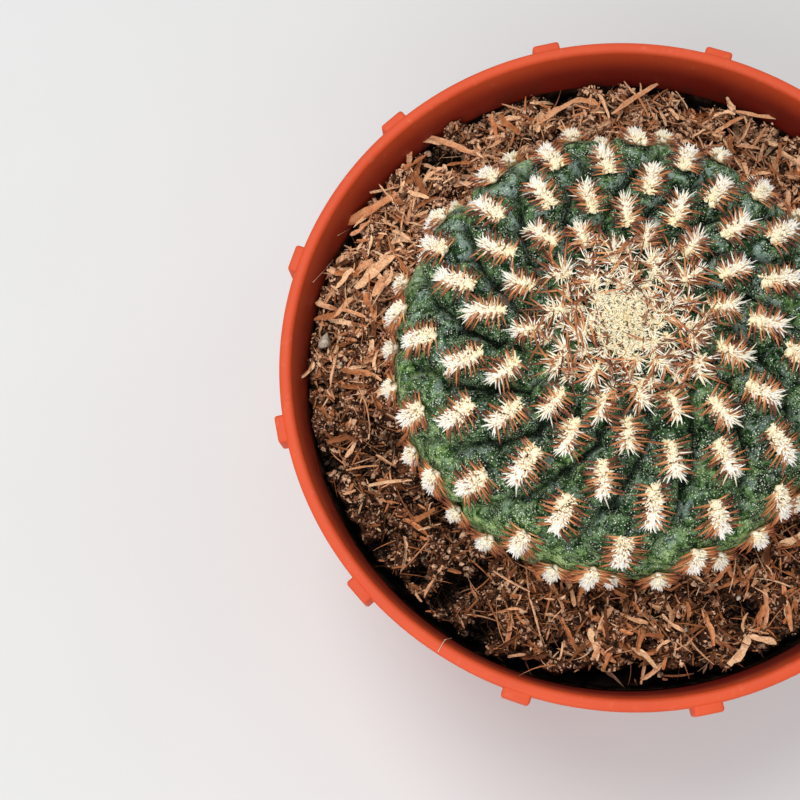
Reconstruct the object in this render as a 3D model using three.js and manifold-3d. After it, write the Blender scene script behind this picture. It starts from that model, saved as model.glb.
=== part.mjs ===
// A round cactus in its plastic pot. Millimetres, +Z up.
// The origin is the middle of the pot's underside, on the pot's own axis.
import * as THREE from 'three';
import { mergeVertices } from 'three/addons/utils/BufferGeometryUtils.js';
import Module from 'manifold-3d';

// ---------------------------------------------------------------- driving dimensions

const SEAT_GAP = 0.3;              // between pieces that rest on each other

// Pot
const POT_HEIGHT = 105;
const RIM_RADIUS = 75;             // outside of the lip
const LIP_WIDTH = 2.8;
const LIP_ROUND = 1.1;
const COLLAR_HEIGHT = 14;          // thickened band under the lip
const COLLAR_DRAFT = 0.4;          // the band is this much slimmer at its foot
const WALL = 1.8;
const WALL_TAPER = THREE.MathUtils.degToRad(8);
const FLOOR = 2.2;
const LUG_COUNT = 12;
const LUG_AZIMUTH = 72.17;         // degrees, one of the twelve
const LUG_WIDTH = 6.2;
const LUG_PROUD = 1.8;
const LUG_HEIGHT = 8;
const LUG_CORNER = 0.7;
const DRAIN_COUNT = 8;
const DRAIN_RADIUS = 4.5;
const DRAIN_CIRCLE = 38;
const DRAIN_RING = [27, 49];       // raised ring of the underside that the holes sit in
const DRAIN_RECESS = 0.9;
const CHANNEL_WIDTH = 5;

// Stem: a flattened dome, its side shoulders full, growing down into a short root
const STEM_CENTRE = [-1.9, -0.2];
const STEM_RADIUS = 47;
const STEM_RISE = 29.8;            // crown above the widest level
const WIDEST_BELOW_RIM = 2.5;
const FULLNESS = 3.0;              // 2 is an ellipse, more is squarer
const ROOT_NECK_RADIUS = 9;
const ROOT_TIP_RADIUS = 1.6;
const ROOT_DEPTH = 52;             // root tip below the widest level

// Ribs and areoles follow one spiral lattice, two areoles at each level
const RIBS = 16;
const LEVEL_TURN = 68.754;         // degrees from one level to the next
const RIB_LEAD = 1.254;            // degrees that a rib leans back for each level
const LATTICE_AZIMUTH = 43.4;
const LEVEL_ROOT_STEP = 5.14;      // arc from the crown: step * sqrt(level) + growth * level^2
const LEVEL_GROWTH = 0.0116;
const GROWN_ARC = 45;              // arc at which the ribs have crowded fully
const SETTLED_ARC = 68;            // no stretching beyond this arc, where the soil begins
const GROOVE_DEPTH = 3.2;
const NOTCH_SHARE = 0.4;           // how much of the groove depth the notches between areoles take
const SMOOTH_CROWN_ARC = 6;        // no grooves nearer the crown than this
const BURIAL_FADE = 5;             // height above the soil over which the grooves run out
const LAST_STEM_LEVEL = 54;
const FIRST_AREOLE_LEVEL = 10;     // younger ones are one tuft
const LAST_AREOLE_LEVEL = 37;      // older ones are not modelled as pieces here

// Areole: a woolly cushion with a comb of spines on each side
const CUSHION_LENGTH = [5.2, 9.6]; // youngest, oldest
const CUSHION_WIDTH = [2.2, 3.0];
const CUSHION_HEIGHT = 1.6;
const SPINE_REACH = 5.0;
const SPINE_CROWDING = 0.34;       // share of the rib spacing that a spine may reach
const SPINE_SPLAY = 1.25;
const AREOLE_COLUMNS = 18;
const AGEING_ARC = 22;             // arc over which areoles grow from the youngest to full size

// Crown tuft
const TUFT_RADIUS = 13.6;
const TUFT_HEIGHT = 6;
const TUFT_SPIKES = 14;

// Soil
const SOIL_BELOW_RIM = 11;
const SOIL_SWELL = 1.4;
const CREVICE_DEPTH = 7;
const CREVICE_WIDTH = 6;
const CREVICE_AZIMUTH = -95;       // widest where the soil has shrunk from the wall
const SOIL_COLUMNS = 60;
const SOIL_RINGS = [0, 0.08, 0.24, 0.45, 0.68, 0.92, 1];   // of the way from the wall to the stem

const rad = THREE.MathUtils.degToRad;
const lerp = THREE.MathUtils.lerp;
const clamp = THREE.MathUtils.clamp;

const wasm = await Module();
wasm.setup();

// ---------------------------------------------------------------- solids

/** One closed solid from a closed geometry. */
function solid(geometry) {
  const bare = geometry.index ? geometry.toNonIndexed() : geometry.clone();
  bare.deleteAttribute('normal');
  bare.deleteAttribute('uv');
  const merged = mergeVertices(bare, 1e-4);
  const index = Array.from(merged.index.array);
  const whole = [];
  for (let i = 0; i < index.length; i += 3) {
    const [a, b, c] = index.slice(i, i + 3);
    if (a !== b && b !== c && c !== a) whole.push(a, b, c);
  }
  return new wasm.Manifold(new wasm.Mesh({
    numProp: 3,
    vertProperties: new Float32Array(merged.attributes.position.array),
    triVerts: new Uint32Array(whole),
  }));
}

function geometryOf(body) {
  const mesh = body.getMesh();
  const geometry = new THREE.BufferGeometry();
  geometry.setAttribute('position', new THREE.BufferAttribute(mesh.vertProperties, 3));
  geometry.setIndex(new THREE.BufferAttribute(mesh.triVerts, 1));
  geometry.computeVertexNormals();
  return geometry;
}

/** A lathe turned about +Z. points are [radius, z], from the bottom of the axis round to its top. */
function turned(points, columns) {
  const profile = points.map(([r, z]) => new THREE.Vector2(r, z));
  const geometry = new THREE.LatheGeometry(profile, columns);
  geometry.rotateX(Math.PI / 2);
  return geometry;
}

/** Moves every vertex of a geometry by place(Vector3). */
function reshape(geometry, place) {
  const position = geometry.attributes.position;
  const point = new THREE.Vector3();
  for (let i = 0; i < position.count; i += 1) {
    point.fromBufferAttribute(position, i);
    place(point, i);
    position.setXYZ(i, point.x, point.y, point.z);
  }
  return geometry;
}

function named(name, geometry, material) {
  const mesh = new THREE.Mesh(geometry, material);
  mesh.name = name;
  return mesh;
}

function finish(color, roughness) {
  return new THREE.MeshStandardMaterial({ color, roughness, metalness: 0 });
}

const POT_FINISH = finish('#d9502e', 0.42);
const SOIL_FINISH = finish('#4a2c1c', 0.95);
const STEM_FINISH = finish('#2f5a3a', 0.55);
const AREOLE_FINISH = finish('#efe2bf', 0.85);

// ---------------------------------------------------------------- pot

/** Inner radius of the pot's wall at height z. */
function potInside(z) {
  return RIM_RADIUS - LIP_WIDTH - (POT_HEIGHT - z) * Math.tan(WALL_TAPER);
}

function potProfile() {
  const collarFoot = POT_HEIGHT - COLLAR_HEIGHT;
  const lipOut = new THREE.Vector2(RIM_RADIUS - LIP_ROUND, POT_HEIGHT - LIP_ROUND);
  const lipIn = new THREE.Vector2(RIM_RADIUS - LIP_WIDTH + LIP_ROUND, POT_HEIGHT - LIP_ROUND);
  const arc = (centre, from, to, steps) => Array.from({ length: steps + 1 }, (_, i) => {
    const angle = rad(lerp(from, to, i / steps));
    return [centre.x + LIP_ROUND * Math.cos(angle), centre.y + LIP_ROUND * Math.sin(angle)];
  });
  return [
    [0, 0],
    [potInside(0) + WALL - 1, 0],
    [potInside(1) + WALL, 1],
    [potInside(collarFoot) + WALL, collarFoot],
    [RIM_RADIUS - COLLAR_DRAFT, collarFoot + 1],
    ...arc(lipOut, 0, 90, 3),
    ...arc(lipIn, 90, 180, 3),
    [potInside(FLOOR + 2), FLOOR + 2],
    [potInside(FLOOR) - 2, FLOOR],
    [0, FLOOR],
  ];
}

/** A rounded tab moulded onto the rim. */
function lug() {
  const half = LUG_WIDTH / 2;
  const inward = RIM_RADIUS - LIP_WIDTH / 2;
  const outward = RIM_RADIUS + LUG_PROUD;
  const outline = new THREE.Shape();
  outline.moveTo(inward, -half);
  outline.lineTo(outward - LUG_CORNER, -half);
  outline.lineTo(outward, -half + LUG_CORNER);
  outline.lineTo(outward, half - LUG_CORNER);
  outline.lineTo(outward - LUG_CORNER, half);
  outline.lineTo(inward, half);
  const depth = LUG_HEIGHT - LIP_ROUND / 2;
  const block = new THREE.ExtrudeGeometry(outline, { depth, bevelEnabled: false });
  block.translate(0, 0, POT_HEIGHT - LUG_HEIGHT);
  return block;
}

function drainHole() {
  const hole = new THREE.CylinderGeometry(DRAIN_RADIUS, DRAIN_RADIUS, FLOOR + 4, 16);
  hole.rotateX(Math.PI / 2);
  hole.translate(DRAIN_CIRCLE, 0, FLOOR / 2);
  return hole;
}

/** The shallow ring and the channels under the floor that let water out. */
function drainChannel() {
  const reach = RIM_RADIUS - DRAIN_RING[1];
  const channel = new THREE.BoxGeometry(reach, CHANNEL_WIDTH, 2 * DRAIN_RECESS);
  channel.translate(DRAIN_RING[1] + reach / 2 - 1, 0, 0);
  return channel;
}

function drainRing() {
  const [inner, outer] = DRAIN_RING;
  const section = [
    [inner, -1], [outer, -1], [outer, DRAIN_RECESS], [inner, DRAIN_RECESS], [inner, -1],
  ];
  return turned(section, 48);
}

function pot() {
  let body = solid(turned(potProfile(), 72));
  for (let i = 0; i < LUG_COUNT; i += 1) {
    const azimuth = rad(LUG_AZIMUTH + (360 / LUG_COUNT) * i);
    body = body.add(solid(lug().rotateZ(azimuth)));
  }
  body = body.subtract(solid(drainRing()));
  for (let i = 0; i < DRAIN_COUNT; i += 1) {
    const azimuth = (2 * Math.PI / DRAIN_COUNT) * i;
    body = body.subtract(solid(drainHole().rotateZ(azimuth)));
    body = body.subtract(solid(drainChannel().rotateZ(azimuth + Math.PI / DRAIN_COUNT)));
  }
  return named('pot', geometryOf(body), POT_FINISH);
}

// ---------------------------------------------------------------- stem surface

const WIDEST_Z = POT_HEIGHT - WIDEST_BELOW_RIM;
const SOIL_Z = POT_HEIGHT - SOIL_BELOW_RIM;

/** The dome's outline by arc length from the crown: a list of {s, r, z}. */
function domeOutline() {
  const steps = 600;
  const power = 2 / FULLNESS;
  const outline = [];
  let s = 0;
  for (let i = 0; i <= steps; i += 1) {
    const t = (Math.PI * 0.72 * i) / steps;
    const c = Math.cos(t);
    const r = STEM_RADIUS * Math.sin(t) ** power;
    const z = WIDEST_Z + STEM_RISE * Math.sign(c) * Math.abs(c) ** power;
    const last = outline[i - 1];
    if (last) s += Math.hypot(r - last.r, z - last.z);
    outline.push({ s, r, z });
  }
  return outline;
}

const DOME = domeOutline();

/** Radius, height and outward normal of the smooth dome at arc length s. */
function domeAt(s) {
  let i = DOME.findIndex((point) => point.s >= s);
  i = i < 1 ? (i < 0 ? DOME.length - 1 : 1) : i;
  const [a, b] = [DOME[i - 1], DOME[i]];
  const t = (s - a.s) / (b.s - a.s);
  const step = new THREE.Vector2(b.r - a.r, b.z - a.z).normalize();
  return { r: lerp(a.r, b.r, t), z: lerp(a.z, b.z, t), nr: -step.y, nz: step.x };
}

function arcOfLevel(level) {
  return LEVEL_ROOT_STEP * Math.sqrt(level) + LEVEL_GROWTH * level ** 2;
}

/** The ribs crowd and stretch a little as the plant grows: the true arc, and azimuth in radians. */
function grown(s, azimuth) {
  const share = clamp(s / GROWN_ARC, 0, 1.35);
  const wave = (turns, phase) => Math.cos(rad(turns * azimuth + phase));
  const early = -3.2 + 6.3 * wave(1, -4) + 6.1 * wave(2, -31);
  const late = 2.9 + 4.6 * wave(1, 151) + 5.0 * wave(2, 152);
  const fade = clamp((SETTLED_ARC - s) / 10, 0, 1);
  const stretch = fade * (0.6 * wave(1, 86) + 0.9 * wave(2, -70));
  return { arc: s + share * stretch, turn: rad(azimuth + share * early + share ** 2 * late) };
}

/** Azimuth in degrees, before crowding, of a rib's crest at a level. */
function ribAzimuth(rib, level) {
  return LATTICE_AZIMUTH + (360 / RIBS) * rib - RIB_LEAD * level;
}

/** How far the skin lies below the smooth dome, at a level and a rib coordinate. */
function skinDepth(level, rib) {
  const s = arcOfLevel(level);
  const youth = clamp((s - SMOOTH_CROWN_ARC) / AGEING_ARC, 0, 1);
  const burial = 1 - clamp((SOIL_Z + BURIAL_FADE - domeAt(s).z) / BURIAL_FADE, 0, 1);
  const crest = 0.5 + 0.5 * Math.cos(2 * Math.PI * rib);
  const onRib = Math.round(rib);
  const fromAreole = level - 5 * onRib;
  const bump = 0.5 + 0.5 * Math.cos((2 * Math.PI * fromAreole) / 8);
  const height = Math.sqrt(crest) * (1 - NOTCH_SHARE + NOTCH_SHARE * bump);
  return GROOVE_DEPTH * youth * burial * (1 - height);
}

/** The point over the grown stem at an arc and azimuth (degrees), lift above the smooth dome. */
function overStem(s, azimuth, lift) {
  const { arc, turn } = grown(s, azimuth);
  const { r, z, nr, nz } = domeAt(arc);
  const out = r + nr * lift;
  return new THREE.Vector3(
    STEM_CENTRE[0] + out * Math.cos(turn),
    STEM_CENTRE[1] + out * Math.sin(turn),
    z + nz * lift,
  );
}

/** The buried part: the body draws in under the soil to a neck and a tapering root. */
function rootOutline() {
  const { r, z } = domeAt(arcOfLevel(LAST_STEM_LEVEL));
  const neckZ = WIDEST_Z - STEM_RISE - 2;
  const tipZ = WIDEST_Z - ROOT_DEPTH;
  return [
    [r * 0.93, z - 5],
    [r * 0.74, z - 10.5],
    [r * 0.45, z - 15],
    [ROOT_NECK_RADIUS, neckZ + 4],
    [ROOT_NECK_RADIUS * 0.8, neckZ - 4],
    [ROOT_TIP_RADIUS, tipZ],
  ];
}

const COLUMNS_PER_RIB = 4;

/** Levels of the stem's rings, from the lowest that the lattice shapes up to the crown. */
function stemLevels() {
  const levels = [];
  for (let level = LAST_STEM_LEVEL; level >= 2; level -= 2) levels.push(level);
  return [...levels, 0.5];
}

function stem() {
  const root = rootOutline().reverse();
  const levels = stemLevels();
  const rings = levels.map((level) => {
    const { r, z } = domeAt(arcOfLevel(level));
    return [r, z];
  });
  const tipZ = root[0][1];
  const crownZ = DOME[0].z;
  const profile = [[0, tipZ], ...root, ...rings, [0, crownZ]];
  const columns = RIBS * COLUMNS_PER_RIB;
  const geometry = turned(profile, columns);
  const firstRing = 1 + root.length;
  reshape(geometry, (point, i) => {
    const column = Math.floor(i / profile.length) % columns;
    const row = i % profile.length;
    const level = levels[row - firstRing];
    const rib = column / COLUMNS_PER_RIB;
    if (level === undefined) {
      const azimuth = rad(ribAzimuth(rib, LAST_STEM_LEVEL));
      const [r, z] = profile[row];
      point.set(STEM_CENTRE[0] + r * Math.cos(azimuth), STEM_CENTRE[1] + r * Math.sin(azimuth), z);
      return;
    }
    const s = arcOfLevel(level);
    point.copy(overStem(s, ribAzimuth(rib, level), -skinDepth(level, rib)));
  });
  return named('stem', geometryOf(solid(geometry)), STEM_FINISH);
}

// ---------------------------------------------------------------- areoles

/** One areole: a cushion laid along the rib whose sides run out into a comb of spines. */
function areole(name, level, rib) {
  const s = arcOfLevel(level);
  const { r } = domeAt(s);
  const age = clamp((s - arcOfLevel(FIRST_AREOLE_LEVEL)) / AGEING_ARC, 0, 1);
  const halfLength = lerp(...CUSHION_LENGTH, age) / 2;
  const halfWidth = lerp(...CUSHION_WIDTH, age) / 2;
  const ribSpacing = (2 * Math.PI * r) / RIBS;
  const reach = Math.min(SPINE_REACH, SPINE_CROWDING * ribSpacing);
  const azimuth = ribAzimuth(rib, level);
  const geometry = new THREE.SphereGeometry(1, AREOLE_COLUMNS, 4);
  const columnTurn = (2 * Math.PI) / AREOLE_COLUMNS;
  reshape(geometry, (point) => {
    let along = point.x * halfLength;
    let across = -point.z * halfWidth;
    let lift = SEAT_GAP + (point.y + 1) * 0.5 * CUSHION_HEIGHT;
    const column = Math.round(Math.atan2(point.z, point.x) / columnTurn);
    const onEdge = Math.abs(point.y) < 1e-6;
    if (onEdge && column % 2 === 0 && Math.abs(point.z) > 0.2) {
      along *= SPINE_SPLAY;
      across = -Math.sign(point.z) * reach;
      lift = SEAT_GAP + 0.6 * CUSHION_HEIGHT;
    }
    const leaned = azimuth + THREE.MathUtils.radToDeg(across / r);
    point.copy(overStem(s + along, leaned, lift));
  });
  return named(name, geometryOf(solid(geometry)), AREOLE_FINISH);
}

/** The rib, 0 to 15, that an areole sits on: side is 0 or 1, for the level's two areoles. */
function ribOf(level, side) {
  const rib = (side * RIBS) / 2 - 3 * level;
  return ((rib % RIBS) + RIBS) % RIBS;
}

function areoles() {
  const all = [];
  for (let level = FIRST_AREOLE_LEVEL; level <= LAST_AREOLE_LEVEL; level += 1) {
    for (const side of [0, 1]) {
      const rib = ribOf(level, side);
      const name = `areole_level${level}_rib${String(rib + 1).padStart(2, '0')}`;
      all.push(areole(name, level, rib));
    }
  }
  return all;
}

/** The youngest areoles stand so close at the crown that they are one spiny tuft. */
function crownTuft() {
  const rings = [0.3, 0.62, 1];
  const columns = 2 * TUFT_SPIKES;
  const under = rings.map((share) => {
    const { r, z } = domeAt(TUFT_RADIUS * share);
    return [r, z + SEAT_GAP];
  });
  const over = [...rings].reverse().map((share) => {
    const { r, z } = domeAt(TUFT_RADIUS * share * 0.94);
    const rise = TUFT_HEIGHT * (0.95 - 0.6 * share ** 2);
    return [r, z + SEAT_GAP + rise];
  });
  const crownZ = DOME[0].z + SEAT_GAP;
  const profile = [[0, crownZ], ...under, ...over, [0, crownZ + 0.8 * TUFT_HEIGHT]];
  const geometry = turned(profile, columns);
  reshape(geometry, (point, i) => {
    const column = Math.floor(i / profile.length) % columns;
    const row = i % profile.length;
    const isOver = row > rings.length && row < profile.length - 1;
    if (isOver && (column + row) % 2 === 0) point.z -= 0.3 * TUFT_HEIGHT;
    point.x += STEM_CENTRE[0];
    point.y += STEM_CENTRE[1];
  });
  return named('crown_tuft', geometryOf(solid(geometry)), AREOLE_FINISH);
}

// ---------------------------------------------------------------- soil

/** Uneven top of the soil: height above its mean level at a place in the pot. */
function soilSwell(radius, azimuth) {
  const waves = Math.sin(3 * azimuth + 0.7) * 0.5 + Math.sin(5 * azimuth + radius / 9) * 0.5;
  return SOIL_SWELL * waves;
}

/** 0 to 1: how far the soil has shrunk from the wall at an azimuth. */
function crevice(azimuth) {
  const front = Math.cos((azimuth - rad(CREVICE_AZIMUTH)) / 2) ** 6;
  return front * (0.75 + 0.25 * Math.sin(7 * azimuth));
}

/** The stem's outer radius at height z, at or below its widest level. */
function stemRadiusAt(z) {
  const dome = DOME.filter((point) => point.s <= arcOfLevel(LAST_STEM_LEVEL));
  const root = rootOutline().map(([r, height]) => ({ r, z: height }));
  const outline = [...dome, ...root];
  const next = outline.findIndex((point) => point.z < z);
  const [above, below] = [outline[next - 1], outline[next]];
  return lerp(below.r, above.r, (z - below.z) / (above.z - below.z));
}

/** The hollow that the buried part of the stem fills, from the soil's top down to the root tip. */
function hollowOutline() {
  const mouth = [stemRadiusAt(SOIL_Z + SOIL_SWELL) + SEAT_GAP, SOIL_Z];
  const buried = rootOutline().map(([r, z]) => [r + SEAT_GAP, z - SEAT_GAP / 2]);
  return [mouth, ...buried];
}

/** A point of the soil's top: swollen or sunk, and never into the tapering wall. */
function settle(point, wallEdge) {
  const radius = Math.hypot(point.x, point.y);
  const azimuth = Math.atan2(point.y, point.x);
  const nearWall = clamp((radius - wallEdge + CREVICE_WIDTH) / CREVICE_WIDTH, 0, 1);
  point.z += soilSwell(radius, azimuth) - crevice(azimuth) * CREVICE_DEPTH * nearWall;
  const inside = Math.min(1, (potInside(point.z) - SEAT_GAP) / radius);
  point.x *= inside;
  point.y *= inside;
}

function soil() {
  const hollow = hollowOutline();
  const [, hollowTipZ] = hollow[hollow.length - 1];
  const stemEdge = hollow[0][0];
  const wallEdge = potInside(SOIL_Z) - SEAT_GAP;
  const base = FLOOR + SEAT_GAP;
  const corner = base + 2;
  const wallTop = SOIL_Z - CREVICE_DEPTH - 3;
  const wallRings = [
    [potInside(base) - SEAT_GAP - 2, base],
    [potInside(corner) - SEAT_GAP, corner],
    [potInside(wallTop) - SEAT_GAP, wallTop],
  ];
  const topRings = SOIL_RINGS.map((share) => [lerp(wallEdge, stemEdge, share), SOIL_Z]);
  const hollowRings = [...hollow.slice(1), [0, hollowTipZ - SEAT_GAP]];
  const profile = [[0, base], ...wallRings, ...topRings, ...hollowRings];
  const firstTop = 1 + wallRings.length;
  const firstHollow = firstTop + topRings.length;
  const geometry = turned(profile, SOIL_COLUMNS);
  reshape(geometry, (point, i) => {
    const row = i % profile.length;
    if (row < firstTop) return;
    const share = row < firstHollow ? SOIL_RINGS[row - firstTop] : 1;
    if (row < firstHollow) settle(point, wallEdge);
    point.x += STEM_CENTRE[0] * share;
    point.y += STEM_CENTRE[1] * share;
  });
  return named('soil', geometryOf(solid(geometry)), SOIL_FINISH);
}

// ---------------------------------------------------------------- assembly

const pottedCactus = new THREE.Group();
pottedCactus.add(pot(), soil(), stem(), crownTuft(), ...areoles());

export default pottedCactus;
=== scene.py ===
"""A round cactus in its plastic pot, looked down on from a little in front.

Lengths are metres. The pot's axis is the Z axis and its underside is at z = 0.
"""
import math

import bmesh
import bpy
import numpy as np
from mathutils import Matrix, Vector


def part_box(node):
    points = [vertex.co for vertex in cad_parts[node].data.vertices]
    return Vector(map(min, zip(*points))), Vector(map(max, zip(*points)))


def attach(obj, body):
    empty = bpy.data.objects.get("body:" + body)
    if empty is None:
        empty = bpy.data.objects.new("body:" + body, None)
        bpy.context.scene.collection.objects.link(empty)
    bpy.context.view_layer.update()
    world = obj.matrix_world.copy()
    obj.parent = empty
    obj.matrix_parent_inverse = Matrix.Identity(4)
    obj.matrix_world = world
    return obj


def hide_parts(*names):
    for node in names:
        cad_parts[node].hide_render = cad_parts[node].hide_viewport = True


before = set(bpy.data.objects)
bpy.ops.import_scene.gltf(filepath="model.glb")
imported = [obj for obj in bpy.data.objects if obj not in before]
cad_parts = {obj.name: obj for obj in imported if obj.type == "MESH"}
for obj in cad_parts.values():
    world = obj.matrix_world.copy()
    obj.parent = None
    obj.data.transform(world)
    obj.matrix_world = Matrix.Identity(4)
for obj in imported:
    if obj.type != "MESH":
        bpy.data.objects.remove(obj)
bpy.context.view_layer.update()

MM = 0.001

# ------------------------------------------------------------------ sizes

POT_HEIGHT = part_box("pot")[1].z
RIM_RADIUS = 75 * MM
LIP_WIDTH = 2.8 * MM
LIP_ROUND = 1.1 * MM
COLLAR_HEIGHT = 14 * MM
COLLAR_DRAFT = 0.4 * MM
WALL = 1.8 * MM
WALL_TAPER = math.tan(math.radians(8))
FLOOR = 2.2 * MM
LUG_COUNT = 12
LUG_AZIMUTH = math.radians(72.17)
LUG_WIDTH = 6.2 * MM
LUG_PROUD = 1.79 * MM
LUG_HEIGHT = 8 * MM
DRAIN_COUNT = 8
DRAIN_RADIUS = 4.5 * MM
DRAIN_CIRCLE = 38 * MM
DRAIN_RING = (27 * MM, 49 * MM)
DRAIN_RECESS = 0.9 * MM
CHANNEL_WIDTH = 5 * MM

STEM_CENTRE = np.array([-1.9 * MM, -0.2 * MM])
STEM_RADIUS = 47 * MM
STEM_RISE = 29.8 * MM
WIDEST_Z = POT_HEIGHT - 2.5 * MM
FULLNESS = 3.0
ROOT_NECK_RADIUS = 9 * MM
ROOT_DEPTH = 52 * MM

# Two areoles grow at each level, on opposite ribs, and each next level starts RIB_STEP ribs on.
# RIB_LEAD is a rib's turn from one level to the next, and LATTICE_AZIMUTH where it starts, in degrees.
RIBS = 16
RIB_STEP = 3
RIB_LEAD = 1.254
LATTICE_AZIMUTH = 43.4
LATTICE_LEVELS = 59
LEVEL_ROOT_STEP = 5.14 * MM
LEVEL_GROWTH = 0.0116 * MM
GROWN_ARC = 45 * MM
SETTLED_ARC = 68 * MM
FIRST_AREOLE_LEVEL = 10
LAST_CAD_LEVEL = 37
LAST_AREOLE_LEVEL = 57
LOWEST_ROW_ARC = 62 * MM
LAST_STEM_LEVEL = 54
GOLDEN_TURN = math.radians(137.508)

SOIL_Z = POT_HEIGHT - 11 * MM
SOIL_SWELL = 1.4 * MM
SEAT_GAP = 0.3 * MM
CREVICE_DEPTH = 7 * MM
CREVICE_WIDTH = 6 * MM
CREVICE_AZIMUTH = math.radians(-95)

# ------------------------------------------------------------------ shader maths

OWN_MAP = "tint_along"


class Value:
    """A socket of a material's nodes that Python's operators work on."""

    def __init__(self, finish, socket):
        self.finish = finish
        self.socket = socket

    def _maths(self, operation, *numbers):
        return self.finish.node("ShaderNodeMath", {"operation": operation}, dict(enumerate(numbers)))

    def __add__(self, other):
        return self._maths("ADD", self, other)

    __radd__ = __add__

    def __mul__(self, other):
        return self._maths("MULTIPLY", self, other)

    __rmul__ = __mul__

    def __sub__(self, other):
        return self._maths("SUBTRACT", self, other)

    def __rsub__(self, other):
        return self._maths("SUBTRACT", other, self)

    def __pow__(self, other):
        return self._maths("POWER", self, other)

    def __gt__(self, other):
        return self._maths("GREATER_THAN", self, other)

    def clipped(self):
        return self.finish.node("ShaderNodeClamp", {}, {"Value": self})

    def step(self, low, high):
        """0 below low, 1 above high, and smooth between them."""
        settings = {"interpolation_type": "SMOOTHSTEP"}
        return self.finish.node("ShaderNodeMapRange", settings, {"Value": self, 1: low, 2: high})


class Finish:
    """One material, built node by node."""

    def __init__(self, name):
        self.material = bpy.data.materials.new(name)
        self.material.use_nodes = True
        self.tree = self.material.node_tree
        self.tree.nodes.clear()

    def node(self, kind, settings, inputs, output=0):
        made = self.tree.nodes.new(kind)
        for key, value in settings.items():
            if key == "stops":
                self._set_stops(made.color_ramp, value)
            else:
                setattr(made, key, value)
        for key, value in inputs.items():
            socket = made.inputs[key]
            if isinstance(value, Value):
                self.tree.links.new(value.socket, socket)
            else:
                socket.default_value = value
        return Value(self, made.outputs[output])

    @staticmethod
    def _set_stops(ramp, stops):
        while len(ramp.elements) < len(stops):
            ramp.elements.new(1.0)
        for element, (place, colour) in zip(ramp.elements, stops):
            element.position = place
            element.color = (*colour, 1.0)

    def place(self):
        return self.node("ShaderNodeTexCoord", {}, {}, "Object")

    def part(self, vector, number):
        return self.node("ShaderNodeSeparateXYZ", {}, {0: vector}, number)

    def axis(self, number):
        return self.part(self.place(), number)

    def height(self):
        return self.axis(2)

    def own_map(self):
        """(tint, along) from the piece's own map."""
        uv = self.node("ShaderNodeUVMap", {"uv_map": OWN_MAP}, {})
        return self.part(uv, 0), self.part(uv, 1)

    def noise(self, scale, detail=3.0, roughness=0.55, distortion=0.0):
        inputs = {"Vector": self.place(), "Scale": scale, "Detail": detail,
                  "Roughness": roughness, "Distortion": distortion}
        return self.node("ShaderNodeTexNoise", {}, inputs)

    def cells(self, scale, output="Distance"):
        """How far a point is from the middle of its cell."""
        return self.node("ShaderNodeTexVoronoi", {}, {"Vector": self.place(), "Scale": scale}, output)

    def cell_draw(self, scale):
        """A random number from 0 to 1 for each cell."""
        return self.node("ShaderNodeSeparateColor", {}, {0: self.cells(scale, "Color")})

    def ramp(self, share, stops):
        return self.node("ShaderNodeValToRGB", {"stops": stops}, {0: share})

    def mix(self, share, first, second):
        first, second = (c if isinstance(c, Value) else (*c, 1.0) for c in (first, second))
        return self.node("ShaderNodeMix", {"data_type": "RGBA"}, {0: share, 6: first, 7: second}, 2)

    def bump(self, height, strength, distance):
        inputs = {"Height": height, "Strength": strength, "Distance": distance}
        return self.node("ShaderNodeBump", {}, inputs)

    def surface(self, **sockets):
        """Ends the material in one Principled shader and gives the material back."""
        inputs = {name.replace("_", " "): value for name, value in sockets.items()}
        shader = self.node("ShaderNodeBsdfPrincipled", {}, inputs)
        end = self.tree.nodes.new("ShaderNodeOutputMaterial")
        self.tree.links.new(shader.socket, end.inputs["Surface"])
        return self.material


# ------------------------------------------------------------------ finishes

def pot_finish():
    finish = Finish("pot_plastic")
    height = finish.height()
    mottle = finish.noise(60, 4)
    colour = finish.ramp(mottle, [(0.3, (0.575, 0.062, 0.016)), (0.7, (0.63, 0.076, 0.021))])
    dust = finish.noise(420, 5, 0.7)
    colour = finish.mix(dust.step(0.56, 0.72) * 0.14, colour, (0.86, 0.36, 0.22))
    radius = (finish.axis(0) * finish.axis(0) + finish.axis(1) * finish.axis(1)) ** 0.5
    wall = RIM_RADIUS - LIP_WIDTH + 0.5 * MM - (POT_HEIGHT - height) * WALL_TAPER
    inside = ((wall - radius) > 0.0) * (height > 1.5 * MM)
    # Painted shade: the inside wall darkens to deep red towards the soil, a little less on the left.
    shade = 1 - (height - (SOIL_Z + 3 * MM)).step(0.0, 8.5 * MM)
    to_the_left = (finish.axis(0) * (-1 / RIM_RADIUS)).clipped()
    colour = finish.mix(shade * inside * (0.96 - to_the_left * 0.36), colour, (0.17, 0.008, 0.004))
    # Darker brown blotches on the inside wall near the soil.
    dark_blotches = finish.noise(130, 5, 0.65)
    near_soil = 1 - (height - (SOIL_Z - 2 * MM)).step(0.0, 8 * MM)
    colour = finish.mix(dark_blotches.step(0.45, 0.62) * near_soil * inside * 0.6, colour, (0.08, 0.02, 0.01))
    scratches = finish.noise(300, 2, 0.5, 2.0)
    rough = 0.48 + mottle * 0.18 + dust.step(0.5, 0.75) * 0.12
    height_field = finish.noise(900, 2) * 0.35 + scratches * 0.25 + finish.noise(45, 1) * 0.5
    normal = finish.bump(height_field, 0.18, 0.4 * MM)
    return finish.surface(Base_Color=colour, Roughness=rough, Normal=normal, IOR=1.36)


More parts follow.
